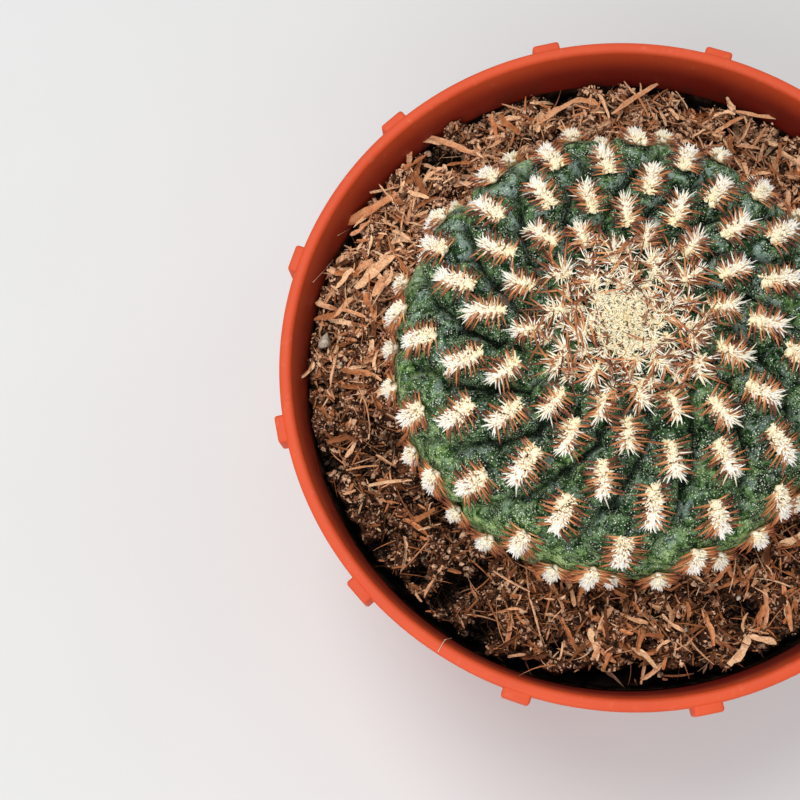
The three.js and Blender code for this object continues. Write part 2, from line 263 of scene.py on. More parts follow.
def skin_finish():
    finish = Finish("stem_skin")
    tint, groove = finish.own_map()
    patches = finish.noise(90, 4, 0.6)
    mottle = finish.noise(460, 6, 0.8)
    deep = finish.ramp(mottle, [(0.44, (0.001, 0.007, 0.001)), (0.51, (0.009, 0.043, 0.007)),
                                (0.60, (0.110, 0.190, 0.076))])
    # Paler, yellower green, laid in patches and low down on the stem: partly the skin's own colour, partly
    # painted light on the stem's sides.
    paler_green = finish.ramp(mottle, [(0.44, (0.009, 0.040, 0.004)), (0.51, (0.105, 0.212, 0.042)),
                                 (0.60, (0.40, 0.53, 0.20))])
    low_down = 1 - (finish.height() - (POT_HEIGHT - 1 * MM)).step(0.0, 23 * MM)
    share = (patches.step(0.52, 0.66) * 0.35 + low_down * 1.1 * patches.step(0.28, 0.48)).clipped()
    colour = finish.mix(share, deep, paler_green)
    # Painted light: patches on the stem's far edge, low down, are lightened to a pale green.
    painted_light_far_side = finish.axis(1).step(4 * MM, 40 * MM) * low_down.step(0.3, 0.9)
    colour = finish.mix(painted_light_far_side * patches.step(0.34, 0.56) * 0.85, colour, (0.68, 0.82, 0.50))
    # Painted sheen: pale blue-grey highlights on faces turned to the crown, weaker low down and stronger on
    # the back half.
    highlight_noise = finish.noise(300, 6, 0.8)
    sheen = highlight_noise.step(0.50, 0.58) * tint.step(0.5, 0.95) * (1 - low_down * 0.7)
    lit_side = finish.axis(1).step(-20 * MM, 25 * MM)
    colour = finish.mix(sheen * (0.34 + lit_side * 0.36), colour, (0.37, 0.50, 0.43))
    # Painted shade: the grooves darken to near black, less so low down.
    colour = finish.mix(groove.step(0.3, 0.95) * (1 - low_down * 0.8) * 0.9, colour, (0.002, 0.006, 0.003))
    fine = finish.cells(2100)
    crowding = finish.noise(260, 3).step(0.35, 0.65)
    flecks = (1 - fine.step(0.20, 0.34)) * (finish.cell_draw(2100) > 0.62 - crowding * 0.48)
    speckle = finish.noise(2800, 2, 0.6).step(0.57, 0.62) * (0.12 + crowding * 0.6)
    dust = (1 - finish.cells(1000).step(0.10, 0.17)) * (finish.cell_draw(1000) > 0.60)
    # Pale marks are mostly left out of the grooves, keeping their painted shade dark.
    pale = (flecks * 0.75 + speckle * 0.42 + dust).clipped() * (1 - groove.step(0.3, 0.9) * 0.8)
    colour = finish.mix(pale, colour, (0.84, 0.88, 0.70))
    rough = 0.40 + mottle * 0.24 + flecks * 0.3 + groove * 0.3
    field = mottle * 1.2 + fine * 0.4 + flecks * 0.4
    normal = finish.bump(field, 0.7, 0.4 * MM)
    return finish.surface(Base_Color=colour, Roughness=rough, Normal=normal, Specular_IOR_Level=0.08)


def wool_finish():
    finish = Finish("areole_wool")
    tint, along = finish.own_map()
    grain = finish.noise(1400, 3)
    root = finish.ramp(tint, [(0.0, (0.66, 0.39, 0.15)), (0.5, (0.82, 0.50, 0.25)),
                              (1.0, (0.86, 0.60, 0.40))])
    tip = finish.ramp(tint, [(0.0, (0.86, 0.76, 0.46)), (0.5, (0.94, 0.86, 0.66)),
                             (1.0, (0.97, 0.93, 0.87))])
    colour = finish.mix(along.step(0.0, 0.5), root, tip)
    colour = finish.mix(grain.step(0.5, 0.7) * 0.25, colour, (0.80, 0.58, 0.36))
    return finish.surface(Base_Color=colour, Roughness=0.66 + grain * 0.2, Specular_IOR_Level=0.2,
                          Normal=finish.bump(grain, 0.3, 0.1 * MM))


def spine_finish():
    finish = Finish("spines")
    tint, along = finish.own_map()
    grain = finish.noise(1600, 3)
    pale = finish.ramp(along, [(0.0, (0.92, 0.64, 0.36)), (0.3, (0.79, 0.37, 0.14)),
                               (0.75, (0.51, 0.15, 0.05)), (1.0, (0.15, 0.035, 0.02))])
    dark = finish.ramp(along, [(0.0, (0.46, 0.16, 0.05)), (0.3, (0.16, 0.038, 0.015)),
                               (0.75, (0.060, 0.015, 0.010)), (1.0, (0.020, 0.008, 0.006))])
    colour = finish.mix(tint, dark, pale)
    colour = finish.mix(grain.step(0.5, 0.7) * 0.25, colour, (0.20, 0.06, 0.035))
    return finish.surface(Base_Color=colour, Roughness=0.42 + grain * 0.2, Specular_IOR_Level=0.3,
                          Normal=finish.bump(grain, 0.25, 0.1 * MM))


def coir_finish(name, dark, middle, light, coarse):
    """Coir of three browns, picked for each crumb or chip by its tint, with painted shade, near black, low
    down in the cracks and pits.
    """
    finish = Finish(name)
    tint, _ = finish.own_map()
    grain = finish.noise(coarse, 5, 0.7)
    share = (tint * 0.95 + (grain - 0.5) * 0.6).clipped()
    colour = finish.ramp(share, [(0.0, dark), (0.5, middle), (1.0, light)])
    fine = finish.noise(coarse * 4, 3, 0.6)
    colour = finish.mix(fine.step(0.45, 0.62) * 0.36, colour, dark)
    # Painted shade: coir lying low, in cracks, pits and the gap at the wall, darkens to near black.
    sunk = 1 - (finish.height() - (SOIL_Z - 4.4 * MM)).step(0.0, 3.6 * MM)
    colour = finish.mix(sunk * 0.93, colour, (0.004, 0.002, 0.0015))
    return finish.surface(Base_Color=colour, Roughness=0.62 + fine * 0.3, Specular_IOR_Level=0.12,
                          Normal=finish.bump(grain + fine * 0.5, 0.6, 0.4 * MM))


def grit_finish():
    finish = Finish("grit")
    grain = finish.noise(900, 4)
    colour = finish.ramp(grain, [(0.35, (0.20, 0.14, 0.10)), (0.65, (0.62, 0.52, 0.42))])
    return finish.surface(Base_Color=colour, Roughness=0.7 + grain * 0.2,
                          Normal=finish.bump(grain, 0.4, 0.3 * MM))


def floor_finish():
    finish = Finish("pale_floor")
    tone = finish.noise(6, 3)
    colour = finish.ramp(tone, [(0.3, (0.620, 0.615, 0.605)), (0.7, (0.650, 0.645, 0.635))])
    return finish.surface(Base_Color=colour, Roughness=0.75)


# ------------------------------------------------------------------ mesh tools

def new_object(name, data):
    """An object in the scene, for a mesh, a light or the camera."""
    made = bpy.data.objects.new(name, data)
    bpy.context.scene.collection.objects.link(made)
    return made


def add_piece(name, mesh, finishes, replaced=()):
    for finish in finishes:
        mesh.materials.append(finish)
    piece = new_object(name, mesh)
    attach(piece, "root")
    if replaced:
        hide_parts(*replaced)


def mesh_from(bm, name):
    for face in bm.faces:
        face.smooth = True
    mesh = bpy.data.meshes.new(name)
    bm.to_mesh(mesh)
    bm.free()
    return mesh


def set_map(mesh, tint, along):
    """Gives a mesh its own map from one (tint, along) pair for each vertex."""
    corners = np.empty(len(mesh.loops), dtype=np.int32)
    mesh.loops.foreach_get("vertex_index", corners)
    layer = mesh.uv_layers.new(name=OWN_MAP)
    layer.data.foreach_set("uv", np.column_stack([tint[corners], along[corners]]).ravel())


def wrapped_grid(name, columns, rows, place, look):
    """A grid bent by place(turn, share) into a closed body of revolution and welded.

    turn is 0 to 1 round the body and share is 0 to 1 along its outline; place gives points,
    and look gives the two numbers of the piece's own map.
    """
    bm = bmesh.new()
    bmesh.ops.create_grid(bm, x_segments=columns, y_segments=rows, size=1)
    flat = np.array([(v.co.x, v.co.y) for v in bm.verts])
    turn, share = (flat[:, 0] + 1) / 2, (flat[:, 1] + 1) / 2
    for vertex, point in zip(bm.verts, place(turn, share)):
        vertex.co = point
    marks = ("mark_tint", "mark_along")
    layers = [bm.verts.layers.float.new(mark) for mark in marks]
    for layer, values in zip(layers, look(turn, share)):
        for vertex, value in zip(bm.verts, values):
            vertex[layer] = value
    bmesh.ops.remove_doubles(bm, verts=bm.verts, dist=0.002 * MM)
    bmesh.ops.recalc_face_normals(bm, faces=bm.faces)
    mesh = mesh_from(bm, name)
    tint, along = (np.array([d.value for d in mesh.attributes[mark].data]) for mark in marks)
    for mark in marks:
        mesh.attributes.remove(mesh.attributes[mark])
    set_map(mesh, tint, along)
    return mesh


class Shape:
    """A small triangulated shape for a heap to copy, and how far along and round it each point lies."""

    def __init__(self, bm):
        bmesh.ops.triangulate(bm, faces=bm.faces)
        bmesh.ops.recalc_face_normals(bm, faces=bm.faces)
        bm.verts.index_update()
        self.points = np.array([v.co[:] for v in bm.verts])
        self.triangles = np.array([[v.index for v in f.verts] for f in bm.faces])
        rise = self.points[:, 2]
        self.along = (rise - rise.min()) / max(np.ptp(rise), 1e-9)
        self.around = np.arctan2(self.points[:, 1], self.points[:, 0]) / math.tau + 0.5
        bm.free()


class Heap:
    """Many placed copies of small shapes, gathered into one mesh.

    The first number of its map is a copy's tint times TINT_SPAN, and grows by COPY_SPAN round the
    copy, so that no face is squeezed to a line on the map.
    """

    TINT_SPAN = 0.96
    COPY_SPAN = 0.03

    def __init__(self):
        self.points, self.triangles, self.tints, self.alongs, self.slots = [], [], [], [], []
        self.count = 0

    def add(self, shape, origins, frames, tints, bends=None, slot=0):
        """frames hold the images of the shape's three axes as columns; bends act with z squared."""
        local = shape.points
        placed = origins[:, None, :] + np.einsum("nij,mj->nmi", frames, local)
        if bends is not None:
            placed = placed + bends[:, None, :] * (local[None, :, 2:3] ** 2)
        copies, size = len(origins), len(local)
        starts = self.count + size * np.arange(copies)
        self.points.append(placed.reshape(-1, 3))
        self.triangles.append((shape.triangles[None] + starts[:, None, None]).reshape(-1, 3))
        spread = self.COPY_SPAN * shape.around[None, :]
        self.tints.append((self.TINT_SPAN * tints[:, None] + spread).ravel())
        self.alongs.append(np.tile(shape.along, copies))
        self.slots.append(np.full(copies * len(shape.triangles), slot))
        self.count += copies * size

    def mesh(self, name, smooth=True):
        points = np.concatenate(self.points)
        triangles = np.concatenate(self.triangles)
        mesh = bpy.data.meshes.new(name)
        mesh.vertices.add(len(points))
        mesh.vertices.foreach_set("co", points.ravel())
        mesh.loops.add(triangles.size)
        mesh.loops.foreach_set("vertex_index", triangles.ravel())
        mesh.polygons.add(len(triangles))
        mesh.polygons.foreach_set("loop_start", np.arange(0, triangles.size, 3))
        mesh.polygons.foreach_set("use_smooth", np.full(len(triangles), smooth))
        mesh.polygons.foreach_set("material_index", np.concatenate(self.slots))
        mesh.update(calc_edges=True)
        mesh.validate()
        set_map(mesh, np.concatenate(self.tints), np.concatenate(self.alongs))
        return mesh


def unit(vectors):
    return vectors / np.linalg.norm(vectors, axis=-1, keepdims=True)


def frames_along(directions, lengths, widths, thicknesses=None, rolls=None):
    """Frames whose z axis is direction * length, with the given width and thickness across."""
    z = unit(directions)
    helper = np.where(np.abs(z[:, 2:3]) < 0.9, [[0.0, 0.0, 1.0]], [[1.0, 0.0, 0.0]])
    x = unit(np.cross(helper, z))
    if rolls is not None:
        x = x * np.cos(rolls)[:, None] + np.cross(z, x) * np.sin(rolls)[:, None]
    y = np.cross(z, x)
    thicknesses = widths if thicknesses is None else thicknesses
    columns = [x * widths[:, None], y * thicknesses[:, None], z * lengths[:, None]]
    return np.stack(columns, axis=2)


def needle(sides, rings, root, waist, tip, hold=0.5):
    """A closed spike of height 1 and radius about 1, which tapers from waist at hold to its tip."""
    bm = bmesh.new()
    bmesh.ops.create_circle(bm, cap_ends=True, segments=sides, radius=root)
    top = bm.faces[:][0]
    widths = np.interp(np.arange(1, rings + 1) / rings, [0, hold, 1], [root, waist, tip])
    before = root
    for width in widths:
        drawn_out = bmesh.ops.extrude_face_region(bm, geom=[top])
        top = [g for g in drawn_out["geom"] if isinstance(g, bmesh.types.BMFace)][0]
        bmesh.ops.translate(bm, verts=top.verts, vec=(0, 0, 1 / rings))
        bmesh.ops.scale(bm, verts=top.verts, vec=(width / before, width / before, 1))
        before = width
    return Shape(bm)


def lay_one(heap, shape, start, lean, length, half_width, tint, bend=None):
    """One copy of a shape that is 1 long, from start in the direction of lean."""
    frames = frames_along(lean[None], np.array([length]), np.array([half_width]))
    heap.add(shape, start[None], frames, np.array([tint]), bend)


def crumb(seed, is_round):
    """An irregular lump of radius about 1: a shaken icosphere or cube."""
    rng = np.random.default_rng(seed)
    bm = bmesh.new()
    if is_round:
        bmesh.ops.create_icosphere(bm, subdivisions=1, radius=1)
    else:
        bmesh.ops.create_cube(bm, size=1.5)
    for vertex in bm.verts:
        vertex.co *= rng.uniform(0.6, 1.25)
        vertex.co += Vector(rng.normal(0, 0.12, 3))
    return Shape(bm)


def blade(seed):
    """A torn husk chip of length 1 along z: thin, troughed, swaying and ragged along its edges."""
    rng = np.random.default_rng(seed)
    rows = 6
    left = rng.uniform(0.45, 1.0, rows + 1)
    right = rng.uniform(0.45, 1.0, rows + 1)
    left[0], right[0], left[-1], right[-1] = rng.uniform(0.05, 0.6, 4)
    sway = np.cumsum(rng.normal(0, 0.22, rows + 1))
    trough = rng.uniform(0.2, 1.0)
    bm = bmesh.new()
    bmesh.ops.create_grid(bm, x_segments=2, y_segments=rows, size=1)
    for vertex in bm.verts:
        across, share = vertex.co.x, (vertex.co.y + 1) / 2
        row = round(share * rows)
        width = (right if across > 0 else left)[row]
        lift = trough * (across * width) ** 2 + rng.normal(0, 0.12)
        vertex.co = (across * width + sway[row], lift, share)
    bmesh.ops.solidify(bm, geom=bm.faces[:], thickness=0.2)
    return Shape(bm)


# ------------------------------------------------------------------ the stem's surface

GROOVE_WIDTH = 3.4 * MM
GROOVE_DEPTH = 3.5 * MM
NOTCH_WIDTH = 4.4 * MM
NOTCH_DEPTH = 1.3 * MM
CHIN_DROP = 2.2 * MM
CHIN_SPREAD = 3.0 * MM
CHIN_RISE = 0.7 * MM
CREASE_SOFTNESS = 0.35 * MM

# Further apart than any two areoles or clods are, in metres.
FAR_OFF = 1.0


def arc_lengths(r, z):
    """Length along an outline from its first point to each of its points."""
    return np.concatenate([[0], np.cumsum(np.hypot(np.diff(r), np.diff(z)))])


def dome_outline():
    """Radius and height down the smooth dome from its crown."""
    power = 2 / FULLNESS
    turn = np.linspace(0, math.pi * 0.72, 3000)
    cosine = np.cos(turn)
    r = STEM_RADIUS * np.sin(turn) ** power
    z = WIDEST_Z + STEM_RISE * np.sign(cosine) * np.abs(cosine) ** power
    return r, z


def chunks(count):
    """The numbers up to count in parts small enough to compare with every areole or clod at once."""
    return np.array_split(np.arange(count), max(1, count // 20000))


def arc_of_level(level):
    return LEVEL_ROOT_STEP * np.sqrt(level) + LEVEL_GROWTH * np.square(level)


def stem_outline():
    """The dome's outline carried on under the soil to the neck and the root's tip."""
    r, z = dome_outline()
    kept = arc_lengths(r, z) <= arc_of_level(LAST_STEM_LEVEL)
    r, z = r[kept], z[kept]
    neck_z = WIDEST_Z - STEM_RISE - 2 * MM
    tip_z = WIDEST_Z - ROOT_DEPTH
    under = np.array([
        (r[-1] * 0.93, z[-1] - 5 * MM),
        (r[-1] * 0.74, z[-1] - 10.5 * MM),
        (r[-1] * 0.45, z[-1] - 15 * MM),
        (ROOT_NECK_RADIUS, neck_z + 4 * MM),
        (ROOT_NECK_RADIUS * 0.8, neck_z - 4 * MM),
        (1.6 * MM, tip_z),
        (0, tip_z),
    ])
    r = np.append(r, under[:, 0])
    z = np.append(z, under[:, 1])
    return arc_lengths(r, z), r, z


OUTLINE_S, OUTLINE_R, OUTLINE_Z = stem_outline()
DOME_ARC = float(arc_of_level(LAST_STEM_LEVEL))


def outline_at(s):
    return np.interp(s, OUTLINE_S, OUTLINE_R), np.interp(s, OUTLINE_S, OUTLINE_Z)


def stem_radius(z):
    """The smooth stem's radius at a height."""
    return np.interp(-z, -OUTLINE_Z, OUTLINE_R)


def dome_at(s):
    """Radius, height and the outward normal's two parts at arc length s."""
    r, z = outline_at(s)
    step = 0.4 * MM
    dr, dz = (after - before for after, before in zip(outline_at(s + step), outline_at(s - step)))
    size = np.hypot(dr, dz) + 1e-12
    return r, z, -dz / size, dr / size


def grown(s, degrees):
    """The ribs crowd and stretch a little as the plant grows: the true arc, and azimuth in radians.

    The numbers bring the areoles to their places on this plant.
    """
    share = np.clip(s / GROWN_ARC, 0, 1.35)
    azimuth = np.radians(degrees)

    def wave(turns, phase):
        return np.cos(turns * azimuth + math.radians(phase))

    early = -3.2 + 6.3 * wave(1, -4) + 6.1 * wave(2, -31)
    late = 2.9 + 4.6 * wave(1, 151) + 5.0 * wave(2, 152)
    fade = np.clip((SETTLED_ARC - s) / (10 * MM), 0, 1)
    stretch = fade * (0.6 * wave(1, 86) + 0.9 * wave(2, -70)) * MM
    return s + share * stretch, azimuth + np.radians(share * early + share ** 2 * late)


def lattice():
    """Level, rib, arc length and azimuth of every areole, two at each level."""
    levels = np.repeat(np.arange(1, LATTICE_LEVELS + 1), 2).astype(float)
    side = np.tile([0, 1], LATTICE_LEVELS)
    ribs = (side * RIBS / 2 - RIB_STEP * levels) % RIBS
    s, azimuth = grown(arc_of_level(levels), LATTICE_AZIMUTH + 360 / RIBS * ribs - RIB_LEAD * levels)
    return levels, ribs.astype(int), s, azimuth


LEVELS, RIB_OF, AREOLE_S, AREOLE_AZIMUTH = lattice()


def crowd_scale(r):
    """Size of a tubercle at radius r, as a share of one half way down the dome."""
    return np.clip(r / (30 * MM), 0.3, 1.45)


def skin_lift(s, azimuth):
    """Height of the tubercled skin over the smooth stem, and how deep in a groove it is (0 to 1)."""
    lift = np.empty(len(s))
    depth = np.empty(len(s))
    for part in chunks(len(s)):
        lift[part], depth[part] = lift_of(s[part], azimuth[part])
    return lift, depth


def lift_of(s, azimuth):
    """Grooves between ribs, notches between tubercles of one rib, and a chin below each areole."""
    r, z, _, _ = dome_at(s)
    scale = crowd_scale(r)
    down = s[:, None] - AREOLE_S[None]
    swing = azimuth[:, None] - AREOLE_AZIMUTH[None]
    across = (np.mod(swing + math.pi, math.tau) - math.pi) * r[:, None]
    gap = np.hypot(down, across)
    nearest = gap.argmin(axis=1)
    rows = np.arange(len(s))
    own = gap[rows, nearest]
    same_rib = RIB_OF[None] == RIB_OF[nearest][:, None]
    other_rib = np.where(same_rib, FAR_OFF, gap).min(axis=1)
    gap[rows, nearest] = FAR_OFF
    along_rib = np.where(same_rib, gap, FAR_OFF).min(axis=1)
    wobble = 0.35 * MM * np.sin(s / (1.9 * MM) + 9 * azimuth) * np.sin(21 * azimuth - s / (2.7 * MM))
    groove = valley(np.abs(other_rib - own + wobble), GROOVE_WIDTH * scale)
    notch = valley(along_rib - own, NOTCH_WIDTH * scale)
    below = down[rows, nearest] - CHIN_DROP * scale
    chin = np.exp(-(below ** 2 + across[rows, nearest] ** 2) / (2 * (CHIN_SPREAD * scale) ** 2))
    youth = np.clip((s - 7 * MM) / (18 * MM), 0, 1)
    smoothing = 1 - np.clip((s - 33 * MM) / (25 * MM), 0, 1) * (0.32 - 0.32 * np.sin(azimuth))
    burial = np.clip((z - (SOIL_Z - 1 * MM)) / (5 * MM), 0, 1)
    size = np.clip(scale, 0.3, 1.15) * youth * burial
    lift = size * (chin * CHIN_RISE - smoothing * (groove * GROOVE_DEPTH + notch * NOTCH_DEPTH))
    return lift, np.clip(groove ** 1.4 + 0.45 * notch ** 2, 0, 1) * youth * smoothing


def valley(difference, width):
    """1 at the bottom of a crease between two cells, falling to 0 at width from it."""
    softened = np.sqrt(difference ** 2 + CREASE_SOFTNESS ** 2) - CREASE_SOFTNESS
    return (1 - np.clip(softened / width, 0, 1)) ** 2


def over_stem(s, azimuth, lift):
    """Points at a height over the smooth stem."""
    r, z, nr, nz = dome_at(s)
    out = r + nr * lift
    x = STEM_CENTRE[0] + out * np.cos(azimuth)
    y = STEM_CENTRE[1] + out * np.sin(azimuth)
    return np.stack([x, y, z + nz * lift], axis=-1)


def stem_axes(s, azimuth):
    """Unit vectors down the dome, round it and outwards."""
    _, _, nr, nz = dome_at(s)
    cosine, sine = np.cos(azimuth), np.sin(azimuth)
    outward = np.stack([nr * cosine, nr * sine, nz], axis=-1)
    around = np.stack([-sine, cosine, np.zeros_like(sine)], axis=-1)
    down = np.cross(around, outward)
    return down, around, outward


def waves(points, seed, longest, shortest):
    """Smooth random unevenness, about -1 to 1, from sine waves between two wavelengths."""
    rng = np.random.default_rng(seed)
    count = 26
    lengths = np.exp(rng.uniform(math.log(shortest), math.log(longest), count))
    directions = unit(rng.normal(size=(count, points.shape[1])))
    phases = rng.uniform(0, math.tau, count)
    share = (lengths / longest) ** 0.6
    turns = points @ (directions * (math.tau / lengths)[:, None]).T + phases
    return (np.sin(turns) * share).sum(axis=1) / np.sqrt((share ** 2).sum() / 2) / 2.5


# ------------------------------------------------------------------ stem

STEM_COLUMNS = 480
STEM_ROWS = 204
DOME_ROW_SHARE = 0.94


def stem_lines(turn, share):
    """Arc length and azimuth of the grid's points; most rows lie on the dome."""
    return np.interp(share, [0, DOME_ROW_SHARE, 1], [0, DOME_ARC, OUTLINE_S[-1]]), turn * math.tau


def stem_place(turn, share):
    s, azimuth = stem_lines(turn, share)
    lift, _ = skin_lift(s, azimuth)
    smooth = over_stem(s, azimuth, 0.0)
    above_soil = np.clip((smooth[:, 2] - SOIL_Z) / (6 * MM), 0, 1) * np.clip(s / (6 * MM), 0, 1)
    lift += waves(smooth, 5, 9 * MM, 1.6 * MM) * 0.26 * MM * above_soil
    return over_stem(s, azimuth, lift)


def stem_look(turn, share):
    """Tint is 1 on faces turned to the crown, where the painted sheen goes; along is groove depth."""
    s, azimuth = stem_lines(turn, share)
    lift, depth = skin_lift(s, azimuth)
    lower, _ = skin_lift(s + 0.8 * MM, azimuth)
    return np.clip(0.5 + (lower - lift) / (0.8 * MM), 0, 1), depth


def make_stem():
    mesh = wrapped_grid("cactus_stem", STEM_COLUMNS, STEM_ROWS, stem_place, stem_look)
    add_piece("cactus_stem", mesh, [skin_finish()], ["stem"])


# ------------------------------------------------------------------ areoles

SPINE = needle(5, 5, root=1.0, waist=0.95, tip=0.25, hold=0.7)
BRISTLE = needle(4, 2, root=1.0, waist=0.95, tip=0.25)
FELT = crumb(3, True)
FELT_LUMPS = 9
ROSETTES = 62
ROSETTE_BRISTLES = 36
ROSETTE_ARC = 7.0 * MM
FIRST_YOUNG_LEVEL = 2
YOUNG_TUFTS = 46


class Seat:
    """Where an areole sits on the stem, and its axes: along its cushion, across it and outwards."""

    def __init__(self, s, azimuth, twist):
        one_s, one_azimuth = np.array([s]), np.array([azimuth])
        lift, _ = skin_lift(one_s, one_azimuth)
        self.origin = over_stem(one_s, one_azimuth, lift)[0]
        down, around, outward = (axis[0] for axis in stem_axes(one_s, one_azimuth))
        along = down * math.cos(twist) + around * math.sin(twist)
        self.axes = np.array([along, np.cross(outward, along), outward])

    def way(self, along, across, outward):
        """Vectors of so much along, across and outwards, each one number or many."""
        return np.stack(np.broadcast_arrays(along, across, outward), axis=-1) @ self.axes


def lay_wool(heap, rng, seat, half_length, half_width, count, age, puff=0.0):
    """Lumps of felt under short thick bristles, whitest where they splay at the outer end.

    puff is how far an old tuft has swollen, from 0 to 1.
    """
    u = rng.uniform(-1, 1, count)
    w = rng.uniform(-1, 1, count) * np.sqrt(1 - 0.7 * u ** 2)
    stand = (1.6 * (0.4 + 0.6 * age) + 1.0 * puff) * MM
    height = stand * (1 - 0.5 * u ** 2) * (1 - 0.7 * w ** 2) * rng.uniform(0.5, 1, count)
    roots = seat.origin + seat.way(u * half_length, w * half_width * 0.85, height)
    outer_end = np.clip((u - 0.35) / 0.65, 0, 1)
    lean = seat.way(0.05 + 0.7 * u + 0.5 * outer_end, (1 - 0.5 * puff) * w,
                    0.95 - 0.35 * np.abs(w) - 0.4 * outer_end)
    lean = unit(lean) + rng.normal(0, 0.42, (count, 3))
    reach = 1.0 + outer_end * np.interp(age, [0, 0.5, 1], [1.7, 1.3, 0.6]) + 0.2 * puff
    reach = reach * rng.uniform(0.6, 1.3, count) * MM
    widths = rng.uniform(0.15, 0.25, count) * np.interp(age, [0, 0.5], [0.8, 1]) * MM
    # Whiter with age and at the outer end, and where puffed near the soil: partly old wool's own whiteness,
    # partly painted light on those shaded low tufts.
    whiteness = np.clip(0.42 + 0.2 * age + 0.36 * u + 0.25 * puff + rng.normal(0, 0.16, count), 0, 1)
    heap.add(BRISTLE, roots, frames_along(lean, reach, widths), whiteness)
    v = np.linspace(-0.88, 0.88, FELT_LUMPS) + rng.normal(0, 0.04, FELT_LUMPS)
    sway = rng.normal(0, 0.22, FELT_LUMPS) * half_width
    wide = half_width * (0.80 - 0.3 * v ** 2) * rng.uniform(0.8, 1.2, FELT_LUMPS)
    high = rng.uniform(0.7, 1.25, FELT_LUMPS) * (0.6 + 0.4 * age + 0.3 * puff * (1 - v ** 2)) * MM
    sizes = np.stack(np.broadcast_arrays(half_length * 0.21, wide, high), axis=-1)
    # The felt pales the same way, the puffed tufts partly by painted light.
    tints = np.clip(0.4 + 0.2 * age + 0.35 * v + 0.4 * puff, 0, 1)
    middles = seat.origin + seat.way(v * half_length, sway, 0.5 * MM)
    heap.add(FELT, middles, seat.axes.T * sizes[:, None, :], tints)


def lay_comb(heap, rng, seat, half_length, half_width, count, reach, age, puff):
    """The comb: a row of spines side by side on both flanks, and a shorter row over them."""
    to_the_back = seat.origin[1] / STEM_RADIUS
    across = seat.axes[1]
    for side in (-1, 1):
        reach_here = reach * (1 - 0.14 * side * across[1]) * (1 - 0.1 * to_the_back)
        reach_here = reach_here * (1 - (0.06 + 0.16 * to_the_back) * puff)
        for share, lift, climb_more, number in ((1.0, 0.3, 0.0, count + 1), (0.8, 0.9, 0.26, count)):
            u = np.linspace(-0.9, 0.85, number) + rng.normal(0, 0.05, number)
            roots = seat.origin + seat.way(u * half_length, side * half_width * 0.4, lift * MM)
            climb = rng.normal(0.24 + climb_more + 0.35 * (1 - age) + 0.1 * puff, 0.09, number)
            slant = 0.10 - 0.3 * puff + 0.40 * u + rng.normal(0, 0.10, number)
            lengths = reach_here * share * rng.uniform(0.78, 1.12, number) * (1 - 0.15 * u ** 2)
            widths = rng.uniform(0.14, 0.22, number) * MM
            bends = seat.way(0, 0, -rng.uniform(0.05, 0.22, number) * lengths)
            tints = rng.choice([0.05, 0.5, 0.9], number, p=[0.40, 0.27, 0.33]) + rng.normal(0, 0.08, number)
            frames = frames_along(seat.way(slant, side, climb), lengths, widths)
            # Painted light: the spines of the puffed low tufts are paler orange, as if lit through.
            heap.add(SPINE, roots, frames, np.clip(tints + 0.45 * puff, 0, 1), bends, slot=1)


def lay_yellow_spine(heap, rng, seat, half_length):
    """One stouter pale spine that some areoles hold at the end nearest the crown."""
    side = rng.choice([-1, 1])
    root = seat.origin + seat.way(-0.7 * half_length, 0, 0.6 * MM)
    lay_one(heap, BRISTLE, root, seat.way(-0.5, 0.7 * side, 0.5), 2.6 * MM, 0.30 * MM, 0.05)


def lay_areole(heap, rng, s, azimuth):
    """A grown areole: longer and woollier with age, and puffed out near the soil."""
    age = float(np.clip((s - 17 * MM) / (22 * MM), 0, 1))
    s = min(s, LOWEST_ROW_ARC + (s - LOWEST_ROW_ARC) * 0.35) + rng.normal(0, 0.4) * MM
    azimuth = azimuth + rng.normal(0, 0.010)
    seat = Seat(s, azimuth, rng.normal(0.0, 0.09))
    half_length = np.interp(age, [0, 0.5, 1], [2.2, 3.4, 4.1]) * MM * rng.uniform(0.92, 1.08)
    puff = float(np.clip((s - 42 * MM) / (14 * MM), 0, 1))
    half_width = (np.interp(age, [0, 1], [1.2, 1.95]) - (0.2 - 0.35 * math.sin(azimuth)) * puff) * MM
    lay_wool(heap, rng, seat, half_length, half_width, int(85 + 105 * age + 80 * puff), age, puff)
    lay_fringe(heap, rng, seat, half_length, 1 - age)
    if age < 0.45:
        lay_young_spines(heap, rng, seat, half_length, 4, 6.5 * MM)
    lay_comb(heap, rng, seat, half_length, half_width, int(6 + 2 * age), 4.1 * MM, age, puff)
    if rng.random() < 0.3:
        lay_yellow_spine(heap, rng, seat, half_length)


def make_rib_areoles(rib, finishes):
    """All areoles of one rib from the crown tuft down to the soil, as one piece."""
    rng = np.random.default_rng(100 + rib)
    heap = Heap()
    grown_ones = (RIB_OF == rib) & (LEVELS >= FIRST_AREOLE_LEVEL) & (LEVELS <= LAST_AREOLE_LEVEL)
    for s, azimuth in zip(AREOLE_S[grown_ones], AREOLE_AZIMUTH[grown_ones]):
        lay_areole(heap, rng, s, azimuth)
    number = f"rib{rib + 1:02d}"
    in_cad = LEVELS[grown_ones & (LEVELS <= LAST_CAD_LEVEL)]
    replaced = [f"areole_level{level:.0f}_{number}" for level in in_cad]
    name = "areoles_" + number
    add_piece(name, heap.mesh(name), finishes, replaced)


